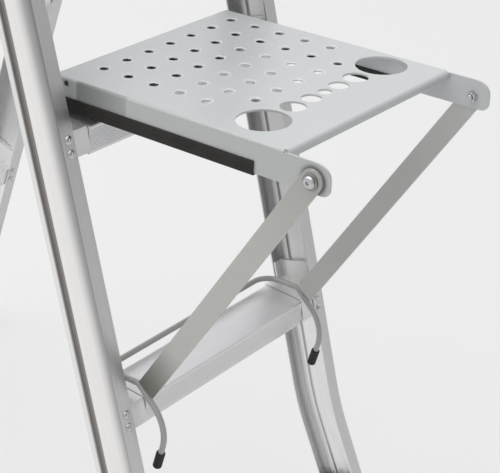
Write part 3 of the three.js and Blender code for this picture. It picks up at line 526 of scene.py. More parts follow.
railSpec = {
    "band": 0.037015,
    "crown": 0.0007,
    "cornerCut": 0.3,
    "bandSteps": 18,
    "ridgePlace": 0.6,
    "ridgeWidth": 0.05,
    "ridgeHeight": 0.00022,
    "groove": 0.01001,
    "grooveSide": 0.0012,
    "grooveDepth": 0.0032,
    "soleHeight": 0.006,
    "aboveHinge": 0.046,
    "flareHeight": 0.19,
    "flareRadius": 0.375,
    "flareAngle": math.radians(10),
    "flareSteps": 16,
    "edge": 0.0004,
    "bevelFrom": 50,
    "smooth": 34,
}


def alongRail(height, y):
    return (height - hingeSpot.z + y * math.sin(ladder["lean"])) / math.cos(ladder["lean"])


flareStart = alongRail(railSpec["flareHeight"], outerPlane)


def flareShift(drop):
    radius, angle = railSpec["flareRadius"], railSpec["flareAngle"]
    arcDrop = radius * math.sin(angle)
    if drop <= 0:
        return 0
    if drop < arcDrop:
        return radius - math.sqrt(radius ** 2 - drop ** 2)
    return radius * (1 - math.cos(angle)) + (drop - arcDrop) * math.tan(angle)


def frameSpot(isRear, x, depth, along):
    # From a frame's own axes, along its rails, to the object's
    y, z = outerPlane + depth, along
    lean = ladder["lean"]
    outY = y * math.cos(lean) + z * math.sin(lean)
    outZ = -y * math.sin(lean) + z * math.cos(lean)
    return hingeSpot + Vector((x, -outY if isRear else outY, outZ))


def webLine(inset, fromDepth, toDepth):
    spec = railSpec
    points = []
    for i in range(spec["bandSteps"] + 1):
        share = i / spec["bandSteps"]
        bulge = spec["crown"] * (1 - (2 * share - 1) ** 2)
        ridge = spec["ridgeHeight"] * math.exp(-((share - spec["ridgePlace"]) / spec["ridgeWidth"]) ** 2)
        points.append((spec["crown"] - bulge - ridge + inset, fromDepth + share * (spec["band"] - fromDepth)))
    edge, side, end = spec["crown"] + inset, spec["grooveSide"], spec["band"] + spec["groove"]
    low = spec["crown"] + spec["grooveDepth"] + inset
    return points + [(low, spec["band"] + side), (low, end - side), (edge, end), (edge, toDepth)]


def railSection():
    wall, corner, depth, flange = (ladder[label] for label in ("wall", "corner", "railDepth", "flange"))
    outer = webLine(0, corner, depth - corner)
    inner = webLine(wall, wall, depth - wall)
    edge, cut = railSpec["crown"], corner * railSpec["cornerCut"]
    return [
        (flange, 0), (edge + corner, 0), (edge + cut, cut),
        *outer,
        (edge + cut, depth - cut), (edge + corner, depth), (flange, depth), (flange, depth - wall),
        *reversed(inner),
        (flange, wall),
    ]


def railRing(isRear, halfWidth, side, heightAt):
    ring = []
    for inset, depth in railSection():
        z = heightAt(outerPlane + depth)
        x = halfWidth - inset + flareShift(flareStart - z)
        ring.append(frameSpot(isRear, side * x, depth, z))
    return ring


def makeRail(frameName, side):
    isRear = frameName == "rear"
    stations = [lambda y: alongRail(railSpec["soleHeight"], y)]
    for i in range(railSpec["flareSteps"], -1, -1):
        angle = railSpec["flareAngle"] * i / railSpec["flareSteps"]
        stations.append(lambda y, a=angle: flareStart - railSpec["flareRadius"] * math.sin(a))
    stations.append(lambda y: railSpec["aboveHinge"])
    rings = [railRing(isRear, ladder["halfWidth"][frameName], sideOf[side], station) for station in stations]
    name = f"{frameName}_rail_{side}"
    skin = ringLoft(name + "_skin", rings)
    piece = settleNormals(bevelEdges(skin, railSpec["edge"], railSpec["bevelFrom"]), railSpec["smooth"])
    metal = rearRailMetal if isRear else frontRailMetal
    return dress(piece, frameName + "_frame", metal, "aluminium_profile", name)


for frameName in ("front", "rear"):
    for side in sideOf:
        makeRail(frameName, side)
print("stage: rails made")


# Geometry Nodes helpers

def startTree(name, inputs):
    return startGroup(name, {"Geometry": "Geometry", **inputs}, ("Geometry",), "Geometry", "Geometry")


def applyTree(piece, tree, values):
    modifier = piece.modifiers.new(tree.name, "NODES")
    modifier.node_group = tree
    for item in tree.interface.items_tree:
        if item.item_type == "SOCKET" and item.in_out == "INPUT" and item.name in values:
            modifier[item.identifier] = values[item.name]
    return bakeModifiers(piece)


def endTree(tree, given, target, geometry):
    realize = addNode(tree, "GeometryNodeRealizeInstances", {0: geometry})
    finish = addNode(tree, "GeometryNodeSetMaterial", {
        "Geometry": realize.outputs[0],
        "Material": given["Material"],
    })
    tree.links.new(finish.outputs[0], target[0])


def spotObject(name, places, label=None, kind=None, values=()):
    # Loose points, each with its own value of a named attribute
    mesh = bpy.data.meshes.new(name)
    mesh.from_pydata(places, [], [])
    if label:
        field = "vector" if kind == "FLOAT_VECTOR" else "value"
        for item, value in zip(mesh.attributes.new(label, kind, "POINT").data, values):
            setattr(item, field, value)
    return newObject(name, mesh)


# Rivets through the rails' flanges

rivetSpec = {
    "radius": 0.0049,
    "height": 0.0023,
    "mandrel": 0.0016,
    "fromEdge": 0.011,
    "firstBelow": 0.0056,
    "spacing": 0.014,
    "segments": 20,
    "rings": 12,
    "stemSides": 14,
    "stemRise": 0.62,
}


def makeRivetTree():
    # A flat dome with the mandrel's stub on it, turned to each spot's facing
    inputs = {"Radius": "Float", "Height": "Float", "Mandrel": "Float", "Material": "Material"}
    tree, given, target = startTree("rivetHeads", inputs)
    dome = addNode(tree, "GeometryNodeMeshUVSphere", {
        "Segments": rivetSpec["segments"],
        "Rings": rivetSpec["rings"],
        "Radius": given["Radius"],
    })
    flatness = mathNode(tree, "DIVIDE", given["Height"], given["Radius"])
    squash = addNode(tree, "ShaderNodeCombineXYZ", {0: 1, 1: 1, 2: flatness})
    shaped = addNode(tree, "GeometryNodeTransform", {
        "Geometry": dome.outputs["Mesh"],
        "Scale": squash.outputs[0],
    })
    stem = addNode(tree, "GeometryNodeMeshCylinder", {
        "Vertices": rivetSpec["stemSides"],
        "Radius": given["Mandrel"],
        "Depth": given["Height"],
    })
    stemMiddle = mathNode(tree, "MULTIPLY", given["Height"], rivetSpec["stemRise"])
    rise = addNode(tree, "ShaderNodeCombineXYZ", {2: stemMiddle})
    lifted = addNode(tree, "GeometryNodeTransform", {
        "Geometry": stem.outputs["Mesh"],
        "Translation": rise.outputs[0],
    })
    both = addNode(tree, "GeometryNodeJoinGeometry", {0: shaped.outputs[0]})
    tree.links.new(lifted.outputs[0], both.inputs[0])
    facing = addNode(tree, "GeometryNodeInputNamedAttribute", {"Name": "facing"}, data_type="FLOAT_VECTOR")
    turn = addNode(tree, "FunctionNodeAlignRotationToVector", {"Vector": facing.outputs["Attribute"]}, axis="Z")
    spread = addNode(tree, "GeometryNodeInstanceOnPoints", {
        "Points": given["Geometry"],
        "Instance": both.outputs[0],
        "Rotation": turn.outputs["Rotation"],
    })
    smooth = addNode(tree, "GeometryNodeSetShadeSmooth", {"Geometry": spread.outputs[0]})
    endTree(tree, given, target, smooth.outputs[0])
    return tree


rivetTree = makeRivetTree()


def rivetSpots(frameName):
    # Two rivets through each flange at each tread end, as places and outward directions
    isRear = frameName == "rear"
    x = ladder["halfWidth"][frameName] - rivetSpec["fromEdge"]
    outward = (frameSpot(isRear, 0, 0, 0) - frameSpot(isRear, 0, 0.01, 0)).normalized()
    spots = []
    for number in treadNumbers:
        top = ladder["firstTread"] + ladder["treadPitch"] * (number - 1)
        for depth, facing in ((0, outward), (ladder["railDepth"], -outward)):
            for i in range(2):
                height = top - rivetSpec["firstBelow"]
                along = alongRail(height, outerPlane + depth) - i * rivetSpec["spacing"]
                for side in (-1, 1):
                    spots.append((frameSpot(isRear, side * x, depth, along), facing))
    return spots


def makeRivets(frameName):
    places, facings = zip(*rivetSpots(frameName))
    piece = spotObject(frameName + "_rivets", places, "facing", "FLOAT_VECTOR", facings)
    applyTree(piece, rivetTree, {
        "Radius": rivetSpec["radius"],
        "Height": rivetSpec["height"],
        "Mandrel": rivetSpec["mandrel"],
        "Material": zincSteel,
    })
    return dress(piece, frameName + "_frame", zincSteel, "zinc_steel")


for frameName in ("front", "rear"):
    makeRivets(frameName)
print("stage: rivets made")


# Tray: bent sheet, then dished holes and tool holes

traySpec = {
    "halfWidth": 0.1337,
    "back": 0.0275,
    "front": 0.2635,
    "sheet": 0.002,
    "bend": 0.003,
    "drop": 0.032,
    "lipRadius": 0.0048,
    "lipDrop": 0.008,
    "hem": 0.002,
    "backDrop": 0.039,
    "notch": 0.0012,
    "eyelet": (0.0085, -0.0058, 0.003),
    "steps": 8,
    "edge": 0.00035,
    "bevelFrom": 40,
    "smooth": 34,
    "reliefDrop": 0.011,
    "overrun": 0.001,
    "boreReach": 0.006,
}
earSpec = {
    "start": 0.262,
    "topEnd": 0.291,
    "topDrop": 0.00192,
    "tip": 0.3101,
    "tipDrop": 0.016,
    "chinDrop": 0.0224,
    "chinEnd": 0.3,
    "boltY": 0.2915,
    "boltDrop": 0.019392,
    "bore": 0.0033,
}
gridSpec = {
    "pitch": 0.0331576,
    "columns": 7,
    "rows": 6,
    "shift": 0.0100944,
    "radius": 0.0047,
    "dish": 0.0077,
    "dishDepth": 0.0012,
    "lead": 0.0004,
    "cutterLow": -0.003,
    "cutterHigh": 0.0015,
    "sides": 40,
    "dishSteps": 8,
    "underTop": 0.00002,
}
toolSpec = {
    "y": 0.203,
    "cutterHeight": 0.01,
    "shift": 0.004011,
    "sides": 96,
    "holes": ((0, 0.0072465), (0.022395, 0.0102548), (0.050806, 0.0129956), (0.095301, 0.026406)),
}


def trayMatrix():
    turn = Matrix.Rotation(-ladder["trayTilt"], 4, "X")
    ear = turn @ Vector((0, -earSpec["boltY"], -earSpec["boltDrop"]))
    return Matrix.Translation(earSpot - ear) @ turn


trayPlace = trayMatrix()


def arcPoints(centreX, centreY, radius, fromDegrees, toDegrees, steps):
    angles = [math.radians(fromDegrees + (toDegrees - fromDegrees) * i / steps) for i in range(steps + 1)]
    return [(centreX + radius * math.cos(angle), centreY + radius * math.sin(angle)) for angle in angles]


def circle(centreX, centreY, radius, sides=32):
    return arcPoints(centreX, centreY, radius, 0, 360, sides)[1:]


def quarterTurn(steps):
    angles = [i / steps * math.pi / 2 for i in range(1, steps + 1)]
    return [(math.cos(angle), math.sin(angle)) for angle in angles]


def slab(name, outline, low, high, axis):
    # A flat outline given thickness: along X it holds Y and Z, along Y it holds X and Z
    def spot(point, depth):
        return (depth, *point) if axis == "X" else (point[0], depth, point[1])
    rings = [[Vector(spot(point, depth)) for point in outline] for depth in (low, high)]
    return ringLoft(name, rings)


def combine(piece, others, operation):
    for other in others:
        step = piece.modifiers.new(operation, "BOOLEAN")
        step.operation = operation
        step.solver = "EXACT"
        step.object = other
        bakeModifiers(piece)
        bpy.data.objects.remove(other)
    return piece


def foldOutline(edge, radius, drop, hem):
    sheet, steps = traySpec["sheet"], traySpec["steps"]
    centre = edge - radius
    step = min(-radius, -drop + sheet + hem)
    outline = [(centre, 0), *arcPoints(centre, -radius, radius, 90, 0, steps)[1:], (edge, -drop)]
    if hem:
        outline += [(edge - sheet - hem, -drop), (edge - sheet - hem, step)]
    outline += [(edge - sheet, step if hem else -drop)]
    return outline + arcPoints(centre, -radius, radius - sheet, 0, 90, steps)[0 if hem or drop > radius else 1:]


def trayChannel():
    spec = traySpec
    half, bend, sheet, steps = spec["halfWidth"], spec["bend"], spec["sheet"], spec["steps"]
    corner = half - bend
    outline = [
        *arcPoints(corner, -bend, bend, 0, 90, steps),
        *arcPoints(-corner, -bend, bend, 90, 180, steps),
        (-half, -bend * 2),
        (-half + sheet, -bend * 2),
        *arcPoints(-corner, -bend, bend - sheet, 180, 90, steps),
        *arcPoints(corner, -bend, bend - sheet, 90, 0, steps),
        (half - sheet, -bend * 2),
        (half, -bend * 2),
    ]
    return slab("tray_channel", outline, -spec["front"] + spec["lipRadius"], spec["back"] - bend, "Y")


def quadratic(start, control, end, steps=12):
    points = []
    for i in range(steps + 1):
        t = i / steps
        shares = ((1 - t) ** 2, 2 * t * (1 - t), t * t)
        points.append(tuple(sum(map(math.prod, zip(shares, values))) for values in zip(start, control, end)))
    return points


def sidePlate(side):
    spec, ear = traySpec, earSpec
    top, tip = -ear["topDrop"], -ear["tip"]
    nose = quadratic((-ear["topEnd"], top), (tip, top), (tip, -ear["tipDrop"]))
    chin = quadratic((tip, -ear["chinDrop"]), (tip, -spec["drop"]), (-ear["chinEnd"], -spec["drop"]))
    outline = [
        (spec["back"], -spec["bend"]),
        (-ear["start"], -spec["bend"]),
        (-ear["start"], top),
        *nose,
        *chin,
        (spec["back"], -spec["drop"]),
    ]
    ends = sorted((side * (spec["halfWidth"] - spec["sheet"]), side * spec["halfWidth"]))
    return slab("tray_side", outline, *ends, "X")


def traySheet():
    spec = traySpec
    lipReach = spec["halfWidth"] - spec["sheet"] - spec["notch"]
    backReach = spec["halfWidth"] - spec["bend"]
    lip = foldOutline(spec["front"], spec["lipRadius"], spec["lipDrop"], spec["hem"])
    back = foldOutline(spec["back"], spec["bend"], spec["backDrop"], 0)
    parts = [
        sidePlate(-1),
        sidePlate(1),
        slab("tray_lip", [(-y, z) for y, z in lip], -lipReach, lipReach, "X"),
        slab("tray_back", back, -backReach, backReach, "X"),
    ]
    sheet = combine(trayChannel(), parts, "UNION")
    reliefs = []
    overrun, reach = spec["overrun"], spec["boreReach"]
    notchFront, notchEnd = -spec["front"] - overrun, -spec["front"] + spec["lipRadius"] + spec["notch"]
    notch = [(notchFront, -spec["reliefDrop"]), (notchEnd, -spec["reliefDrop"])]
    notch += [(notchEnd, overrun), (notchFront, overrun)]
    bore = circle(-earSpec["boltY"], -earSpec["boltDrop"], earSpec["bore"])
    eyelet = circle(*spec["eyelet"])
    for side in (-1, 1):
        low, high = sorted((side * lipReach, side * (spec["halfWidth"] - spec["sheet"])))
        reliefs.append(slab("tray_relief", notch, low, high, "X"))
        reliefs += [slab("side_bore", hole, low - reach, high + reach, "X") for hole in (bore, eyelet)]
    combine(sheet, reliefs, "DIFFERENCE")
    return bevelEdges(sheet, spec["edge"], spec["bevelFrom"])


def dishedCutter():
    # Through hole with a rounded dish pressed down from the top face
    spec = gridSpec
    radius, dish, depth = spec["radius"], spec["dish"], spec["dishDepth"]
    profile = [(0, spec["cutterLow"]), (radius, spec["cutterLow"]), (radius, -depth)]
    for across, up in quarterTurn(spec["dishSteps"]):
        profile.append((radius + (dish - radius) * (1 - across), -depth * (1 - up)))
    profile += [(dish + spec["lead"], spec["cutterHigh"]), (0, spec["cutterHigh"])]
    return turned("dished_cutter", profile, spec["sides"])


def turned(name, profile, sides, closed=False):
    # A shape turned about Z from radius and height pairs that start and end on the axis, or form a ring
    work = bmesh.new()
    rows = []
    for radius, z in profile:
        angles = [2 * math.pi * i / sides for i in range(1 if radius == 0 else sides)]
        rows.append([work.verts.new((radius * math.cos(a), radius * math.sin(a), z)) for a in angles])
    skinRows(work, rows, closed)
    return pieceFromBmesh(name, work)


def makePerforationTree():
    # Cuts a dished hole at each spot, and a straight hole of its own radius at each tool spot
    inputs = {"Cutter": "Object", "Tool Sides": "Int", "Spots": "Object", "Tool Spots": "Object"}
    tree, given, target = startTree("perforations", {**inputs, "Material": "Material"})
    spots, cutter, toolSpots = (
        addNode(tree, "GeometryNodeObjectInfo", {"Object": given[label]}).outputs["Geometry"]
        for label in ("Spots", "Cutter", "Tool Spots")
    )
    small = addNode(tree, "GeometryNodeInstanceOnPoints", {"Points": spots, "Instance": cutter})
    plug = addNode(tree, "GeometryNodeMeshCylinder", {
        "Radius": 1,
        "Depth": toolSpec["cutterHeight"],
        "Vertices": given["Tool Sides"],
    })
    size = addNode(tree, "GeometryNodeInputNamedAttribute", {"Name": "radius"}, data_type="FLOAT")
    radius = size.outputs["Attribute"]
    wide = addNode(tree, "ShaderNodeCombineXYZ", {0: radius, 1: radius, 2: 1})
    large = addNode(tree, "GeometryNodeInstanceOnPoints", {
        "Points": toolSpots,
        "Instance": plug.outputs["Mesh"],
        "Scale": wide.outputs[0],
    })
    both = addNode(tree, "GeometryNodeJoinGeometry", {0: small.outputs[0]})
    tree.links.new(large.outputs[0], both.inputs[0])
    cutters = addNode(tree, "GeometryNodeRealizeInstances", {0: both.outputs[0]})
    cutting = addNode(tree, "GeometryNodeMeshBoolean", {
        "Mesh 1": given["Geometry"],
        "Mesh 2": cutters.outputs[0],
    }, operation="DIFFERENCE", solver="EXACT")
    endTree(tree, given, target, cutting.outputs["Mesh"])
    return tree


def dishFaces(mesh, places):
    # Faces of the pressed rims: between the sheet's top and the straight bore, near a hole's middle
    found = []
    for face in mesh.polygons:
        if not -gridSpec["dishDepth"] < face.center.z < -gridSpec["underTop"]:
            continue
        if any((face.center - Vector(place)).xy.length < gridSpec["dish"] for place in places):
            found.append(face.index)
    return found


def makeTray():
    grid = gridSpec
    places = []
    for row in range(grid["rows"]):
        inset = 1 if row == grid["rows"] - 1 else 0
        for column in range(inset, grid["columns"] - inset):
            x = grid["shift"] + (column - (grid["columns"] - 1) / 2) * grid["pitch"]
            places.append((x, -row * grid["pitch"], 0))
    toolPlaces, radii = [], []
    for place, radius in toolSpec["holes"]:
        for side in ((1,) if place == 0 else (-1, 1)):
            toolPlaces.append((toolSpec["shift"] + side * place, -toolSpec["y"], 0))
            radii.append(radius)
    sheet = traySheet()
    helpers = [
        dishedCutter(),
        spotObject("grid_spots", places),
        spotObject("tool_spots", toolPlaces, "radius", "FLOAT", radii),
    ]
    applyTree(sheet, makePerforationTree(), {
        "Cutter": helpers[0],
        "Spots": helpers[1],
        "Tool Spots": helpers[2],
        "Tool Sides": toolSpec["sides"],
        "Material": trayPaint,
    })
    for helper in helpers:
        bpy.data.objects.remove(helper)
    settleNormals(sheet, traySpec["smooth"])
    rims = dishFaces(sheet.data, places)
    sheet.data.transform(trayPlace)
    sheet.name = "tray_sheet"
    dress(sheet, "tray", trayPaint, "tray_paint", "tray")
    # Painted highlight: the rims' faces take the lighter copy of the paint
    sheet.data.materials.append(rimHighlightPaint)
    for index in rims:
        sheet.data.polygons[index].material_index = 1
    return sheet


makeTray()


# Rubber edge strips over the side flanges, with two beads along the outer face

stripSpec = {
    "wall": 0.0013,
    "clear": 0.0003,
    "grip": 0.0123,
    "foot": 0.0016,
    "front": 0.226,
    "back": 0.0275,
    "beads": (0.36, 0.6),
    "bead": 0.0006,
    "rise": 0.00045,
    "beadSteps": 6,
    "smooth": 40,
    "round": 0.0006,
    "chamfer": 0.0004,
    "innerDrop": 0.0015,
}


def makeStrip(side):
    spec, sign = stripSpec, sideOf[side]
    outer = traySpec["halfWidth"] + spec["clear"] + spec["wall"]
    inner = traySpec["halfWidth"] - traySpec["sheet"] - spec["clear"] - spec["wall"]
    top = -traySpec["drop"] + spec["grip"]
    slot = -traySpec["drop"] - spec["clear"]
    low = slot - spec["foot"]
    innerTop = top - spec["innerDrop"]
    edge, chamfer, wall = spec["round"], spec["chamfer"], spec["wall"]
    section = [(outer - wall, top), (outer - chamfer, top), (outer, top - chamfer)]
    for share in spec["beads"]:
        middle = top + share * (low - top)
        for i in range(spec["beadSteps"] + 1):
            angle = math.pi * i / spec["beadSteps"]
            section.append((outer + spec["rise"] * math.sin(angle), middle + spec["bead"] * math.cos(angle)))
    section += [(outer, low + edge), (outer - edge, low), (inner + edge, low), (inner, low + edge)]
    section += [(inner, innerTop - chamfer), (inner + chamfer, innerTop), (inner + wall, innerTop)]
    section += [(inner + wall, slot), (outer - wall, slot)]
    strip = slab(f"strip_{side}", [(sign * x, z) for x, z in section], -spec["front"], spec["back"], "Y")
    strip.data.transform(trayPlace)
    smoothByAngle(strip, spec["smooth"])
    return dress(strip, "tray", stripRubber, "black_rubber", f"edge_strip_{side}")


for side in sideOf:
    makeStrip(side)
print("stage: tray made")


# Bolts and washers at the ears and the top hinge

earBoltSpec = {"shaft": 0.003, "head": 0.0062, "height": 0.0033, "socket": 0.0022, "deep": 0.0018, "bore": 0.0033}
hingeBoltSpec = {"shaft": 0.004, "head": 0.007, "height": 0.0044, "socket": 0.0028, "deep": 0.0024, "bore": 0.0043}
boltShape = {
    "tip": 0.0005,
    "rim": 0.0003,
    "straight": 0.22,
    "crown": 0.46,
    "crownSteps": 10,
    "sides": 40,
    "cutterRise": 0.002,
    "edge": 0.00015,
    "bevelFrom": 50,
    "smooth": 40,
}
washerShape = {"edge": 0.0002, "sides": 48, "smooth": 50}


def makeBolt(node, body, spec):
    shape, shaft, head, height = boltShape, spec["shaft"], spec["head"], spec["height"]
    low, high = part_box(node)
    side = -1 if (low.x + high.x) < 0 else 1
    middle = (low + high) / 2
    reach = (high.x - low.x) - height
    profile = [(0, -reach), (shaft - shape["tip"], -reach), (shaft, -reach + shape["tip"])]
    profile += [(shaft, 0), (head - shape["rim"], 0), (head, shape["rim"]), (head, height * shape["straight"])]
    for across, up in quarterTurn(shape["crownSteps"]):
        wide = shape["crown"] + (1 - shape["crown"]) * across
        tall = shape["straight"] + (1 - shape["straight"]) * up
        profile.append((head * wide, height * tall))
    profile.append((0, height))
    bolt = turned(node + "_turned", profile, shape["sides"])
    levels = (height - spec["deep"], height + shape["cutterRise"])
    deep = [[Vector((x, y, z)) for x, y in circle(0, 0, spec["socket"], 6)] for z in levels]
    combine(bolt, [ringLoft("socket_cutter", deep)], "DIFFERENCE")
    smoothByAngle(bevelEdges(bolt, shape["edge"], shape["bevelFrom"], 1), shape["smooth"])
    seat = Vector((side * (max(abs(low.x), abs(high.x)) - height), middle.y, middle.z))
    turn = Vector((side, 0, 0)).to_track_quat("Z", "Y").to_matrix().to_4x4()
    bolt.data.transform(Matrix.Translation(seat) @ turn)
    return dress(bolt, body, zincSteel, "zinc_steel", node)


def makeWasher(node, body, bore, metal):
    low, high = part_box(node)
    radius, thickness, edge = (high.z - low.z) / 2, high.x - low.x, washerShape["edge"]
    outline = [(bore, 0), (radius - edge, 0), (radius, edge), (radius, thickness - edge)]
    outline += [(radius - edge, thickness), (bore, thickness)]
    washer = turned(node + "_turned", outline, washerShape["sides"], True)
    turn = Matrix(((0, 0, 1, 0), (1, 0, 0, 0), (0, 1, 0, 0), (0, 0, 0, 1)))
    seat = (low + high) / 2 - Vector((thickness / 2, 0, 0))
    washer.data.transform(Matrix.Translation(seat) @ turn)
    smoothByAngle(washer, washerShape["smooth"])
    return dress(washer, body, metal, "zinc_steel", node)


for side in sideOf:
    makeBolt(f"ear_bolt_{side}", "tray", earBoltSpec)
    makeWasher(f"ear_washer_{side}", "tray", earBoltSpec["bore"], darkSteel)
    makeBolt(f"hinge_bolt_{side}", "front_frame", hingeBoltSpec)
    makeWasher(f"hinge_washer_{side}", "front_frame", hingeBoltSpec["bore"], zincSteel)
    nodes[f"hinge_stop_pin_{side}"].data.materials.clear()
    nodes[f"hinge_stop_pin_{side}"].data.materials.append(zincSteel)
print("stage: bolts made")


# Struts, the bent rod and its rubber caps, with the struts' ends cut to sit on the rod

bailSpec = {
    "radius": 0.00325,
    "armX": 0.1355,
    "barY": 0.238058,
    "barDrop": 0.308546,
    "cornerRadius": 0.020,
    "armRise": math.radians(4.8),
    "armLength": 0.0252853,
    "shoulderRadius": 0.006,
    "shoulderTurn": math.radians(44.9),
    "shoulderLength": 0.0251,
    "hookRadius": 0.046,
    "hookTurn": math.radians(62.8),
    "hookEnd": 0.0287,
    "intoCap": 0.0043,
    "steps": {"corner": 16, "shoulder": 10, "hook": 18},
    "roundness": 6,
    "smooth": 50,
}
strutSpec = {
    "width": 0.023,
    "thickness": 0.003,
    "length": 0.356682,
    "angle": math.radians(30.2527),
    "bore": 0.0033,
    "gap": 0.0003,
    "edge": 0.0005,
    "overrun": 0.001,
    "topSteps": 28,
    "bevelFrom": 40,
    "smooth": 36,
}


def walkStraight(walk, length):
    walk["at"] = walk["at"] + walk["heading"] * length
    walk["points"].append(walk["at"].copy())


def walkBend(walk, radius, angle, axis, steps):
    part = angle / steps
    half = Matrix.Rotation(part / 2, 3, axis)
    for _ in range(steps):
        walk["heading"] = half @ walk["heading"]
        walk["at"] = walk["at"] + walk["heading"] * (2 * radius * math.sin(part / 2))
        walk["heading"] = half @ walk["heading"]
        walk["points"].append(walk["at"].copy())


def bailHalf(endCut):
    # Half of the rod's centre line, from the middle of its bar to one hook's end
    spec = bailSpec
    xAxis = Vector((1, 0, 0))
    arm = Vector((0, -math.cos(spec["armRise"]), math.sin(spec["armRise"])))
    start = earSpot + Vector((0, spec["barY"], -spec["barDrop"]))
    walk = {"at": start, "heading": xAxis.copy(), "points": [start.copy()]}
    walkStraight(walk, spec["armX"] - spec["cornerRadius"])
    walkBend(walk, spec["cornerRadius"], math.pi / 2, xAxis.cross(arm), spec["steps"]["corner"])
    walkStraight(walk, spec["armLength"])
    walkBend(walk, spec["shoulderRadius"], spec["shoulderTurn"], xAxis, spec["steps"]["shoulder"])
    walkStraight(walk, spec["shoulderLength"])
    walkBend(walk, spec["hookRadius"], spec["hookTurn"], xAxis, spec["steps"]["hook"])
    walkStraight(walk, spec["hookEnd"] - endCut)
    return walk


def mirroredX(points):
    return [Vector((-point.x, point.y, point.z)) for point in points]


def roundBar(name, points, radius):
    curve = bpy.data.curves.new(name, "CURVE")
    curve.dimensions = "3D"
    curve.bevel_depth = radius
    curve.bevel_resolution = bailSpec["roundness"]
    curve.use_fill_caps = True
    line = curve.splines.new("POLY")
    line.points.add(len(points) - 1)
    for spot, point in zip(line.points, points):
        spot.co = (*point, 1)
    piece = newObject(name, curve)
    mesh = plainMesh(piece)
    bpy.data.objects.remove(piece)
    return smoothByAngle(newObject(name, mesh), bailSpec["smooth"])


def makeBail():
    half = bailHalf(bailSpec["intoCap"])["points"][1:]
    rod = roundBar("bail_bar", list(reversed(mirroredX(half))) + half, bailSpec["radius"])
    return dress(rod, "stay", rodShadedPaint, "tray_paint", "bail_rod")


# Painted shade along the struts: dark at the lower end by the rod, light over the middle and a little darker at
# the ear
alongStrut = Vector((0, -math.sin(strutSpec["angle"]), math.cos(strutSpec["angle"])))
shadeByPlace(strutShadedPaint, alongStrut, alongStrut.dot(earSpot) - strutSpec["length"], strutSpec["length"], (
    (0, (0.34, 0.33, 0.31)),
    (0.05, (0.46, 0.45, 0.42)),
    (0.12, (0.68, 0.67, 0.65)),
    (0.2, (0.98, 0.98, 0.97)),
    (0.7, (0.96, 0.96, 0.94)),
    (1, (0.82, 0.82, 0.8)),
))


def makeStrut(side):
    spec = strutSpec
    half = spec["width"] / 2
    outline = arcPoints(0, 0, half, 0, 180, spec["topSteps"]) + [(-half, -spec["length"]), (half, -spec["length"])]
    low, high = sorted(sideOf[side] * (traySpec["halfWidth"] + spec["gap"] + t) for t in (0, spec["thickness"]))
    strut = slab(f"strut_bar_{side}", outline, low, high, "X")
    bore = circle(0, 0, spec["bore"])
    cutter = slab("strut_bore", bore, low - spec["overrun"], high + spec["overrun"], "X")
    combine(strut, [cutter], "DIFFERENCE")
    strut.data.transform(Matrix.Translation(earSpot) @ Matrix.Rotation(spec["angle"], 4, "X"))
    cradle = bailHalf(0)["points"][1:]
    if sideOf[side] < 0:
        cradle = mirroredX(cradle)
    combine(strut, [roundBar("cradle", cradle, bailSpec["radius"] + spec["gap"])], "DIFFERENCE")
    settleNormals(bevelEdges(strut, spec["edge"], spec["bevelFrom"]), spec["smooth"])
    return dress(strut, "stay", strutShadedPaint, "tray_paint", f"strut_{side}")


capSpec = {
    "radius": 0.005,
    "length": 0.021,
    "edge": 0.0018,
    "bead": 0.000175,
    "beadSteps": 24,
    "end": 0.004,
    "mouth": 0.0002,
    "lip": 0.0005,
    "tipSteps": 8,
    "sides": 32,
    "smooth": 50,
}


def makeRodCap(side):
    # Rounded tip, faint beads round the sleeve, and a rolled mouth where the rod goes in
    spec = capSpec
    radius, length, edge, steps = spec["radius"], spec["length"], spec["edge"], spec["beadSteps"]
    tip = quarterTurn(spec["tipSteps"])
    profile = [(0, 0)] + [(radius - edge + edge * up, edge * (1 - across)) for across, up in tip]
    for i in range(1, steps + 1):
        dip = 0 if i % 2 else spec["bead"]
        profile.append((radius - dip, edge + (length - edge * 1.5) * i / steps))
    mouth = bailSpec["radius"] + spec["mouth"]
    profile += [(radius - spec["lip"], length), (mouth, length), (mouth, spec["end"]), (0, spec["end"])]
    cap = turned(f"rod_cap_{side}", profile, spec["sides"])
    walk = bailHalf(0)
    turn = (-walk["heading"]).to_track_quat("Z", "Y").to_matrix().to_4x4()
    at = walk["at"] if sideOf[side] > 0 else mirroredX([walk["at"]])[0]
    cap.data.transform(Matrix.Translation(at) @ turn)
    smoothByAngle(cap, spec["smooth"])
    return dress(cap, "stay", stripRubber, "black_rubber", f"bail_cap_{side}")


makeBail()
for side in sideOf:
    makeStrut(side)
    makeRodCap(side)
print("stage: stay made")


# Floor, lights and camera

floorSpec = {"size": 60, "colour": (0.8, 0.8, 0.8), "roughness": 0.9, "seenShare": 0.6, "seen": 0.97}


def paleRays(tree):
    # Light path outputs, and one for the rays that meet the pale background: seen, mirrored or refracted
    paths = tree.nodes.new("ShaderNodeLightPath").outputs
    seen = mathNode(tree, "MAXIMUM", paths["Is Camera Ray"], paths["Is Glossy Ray"])
    return paths, mathNode(tree, "MAXIMUM", seen, paths["Is Transmission Ray"])


def blendShaders(tree, share, first, second, end):
    blend = addNode(tree, "ShaderNodeMixShader", {"Fac": share, 1: first.outputs[0], 2: second.outputs[0]})
    tree.links.new(blend.outputs[0], tree.nodes[end].inputs["Surface"])


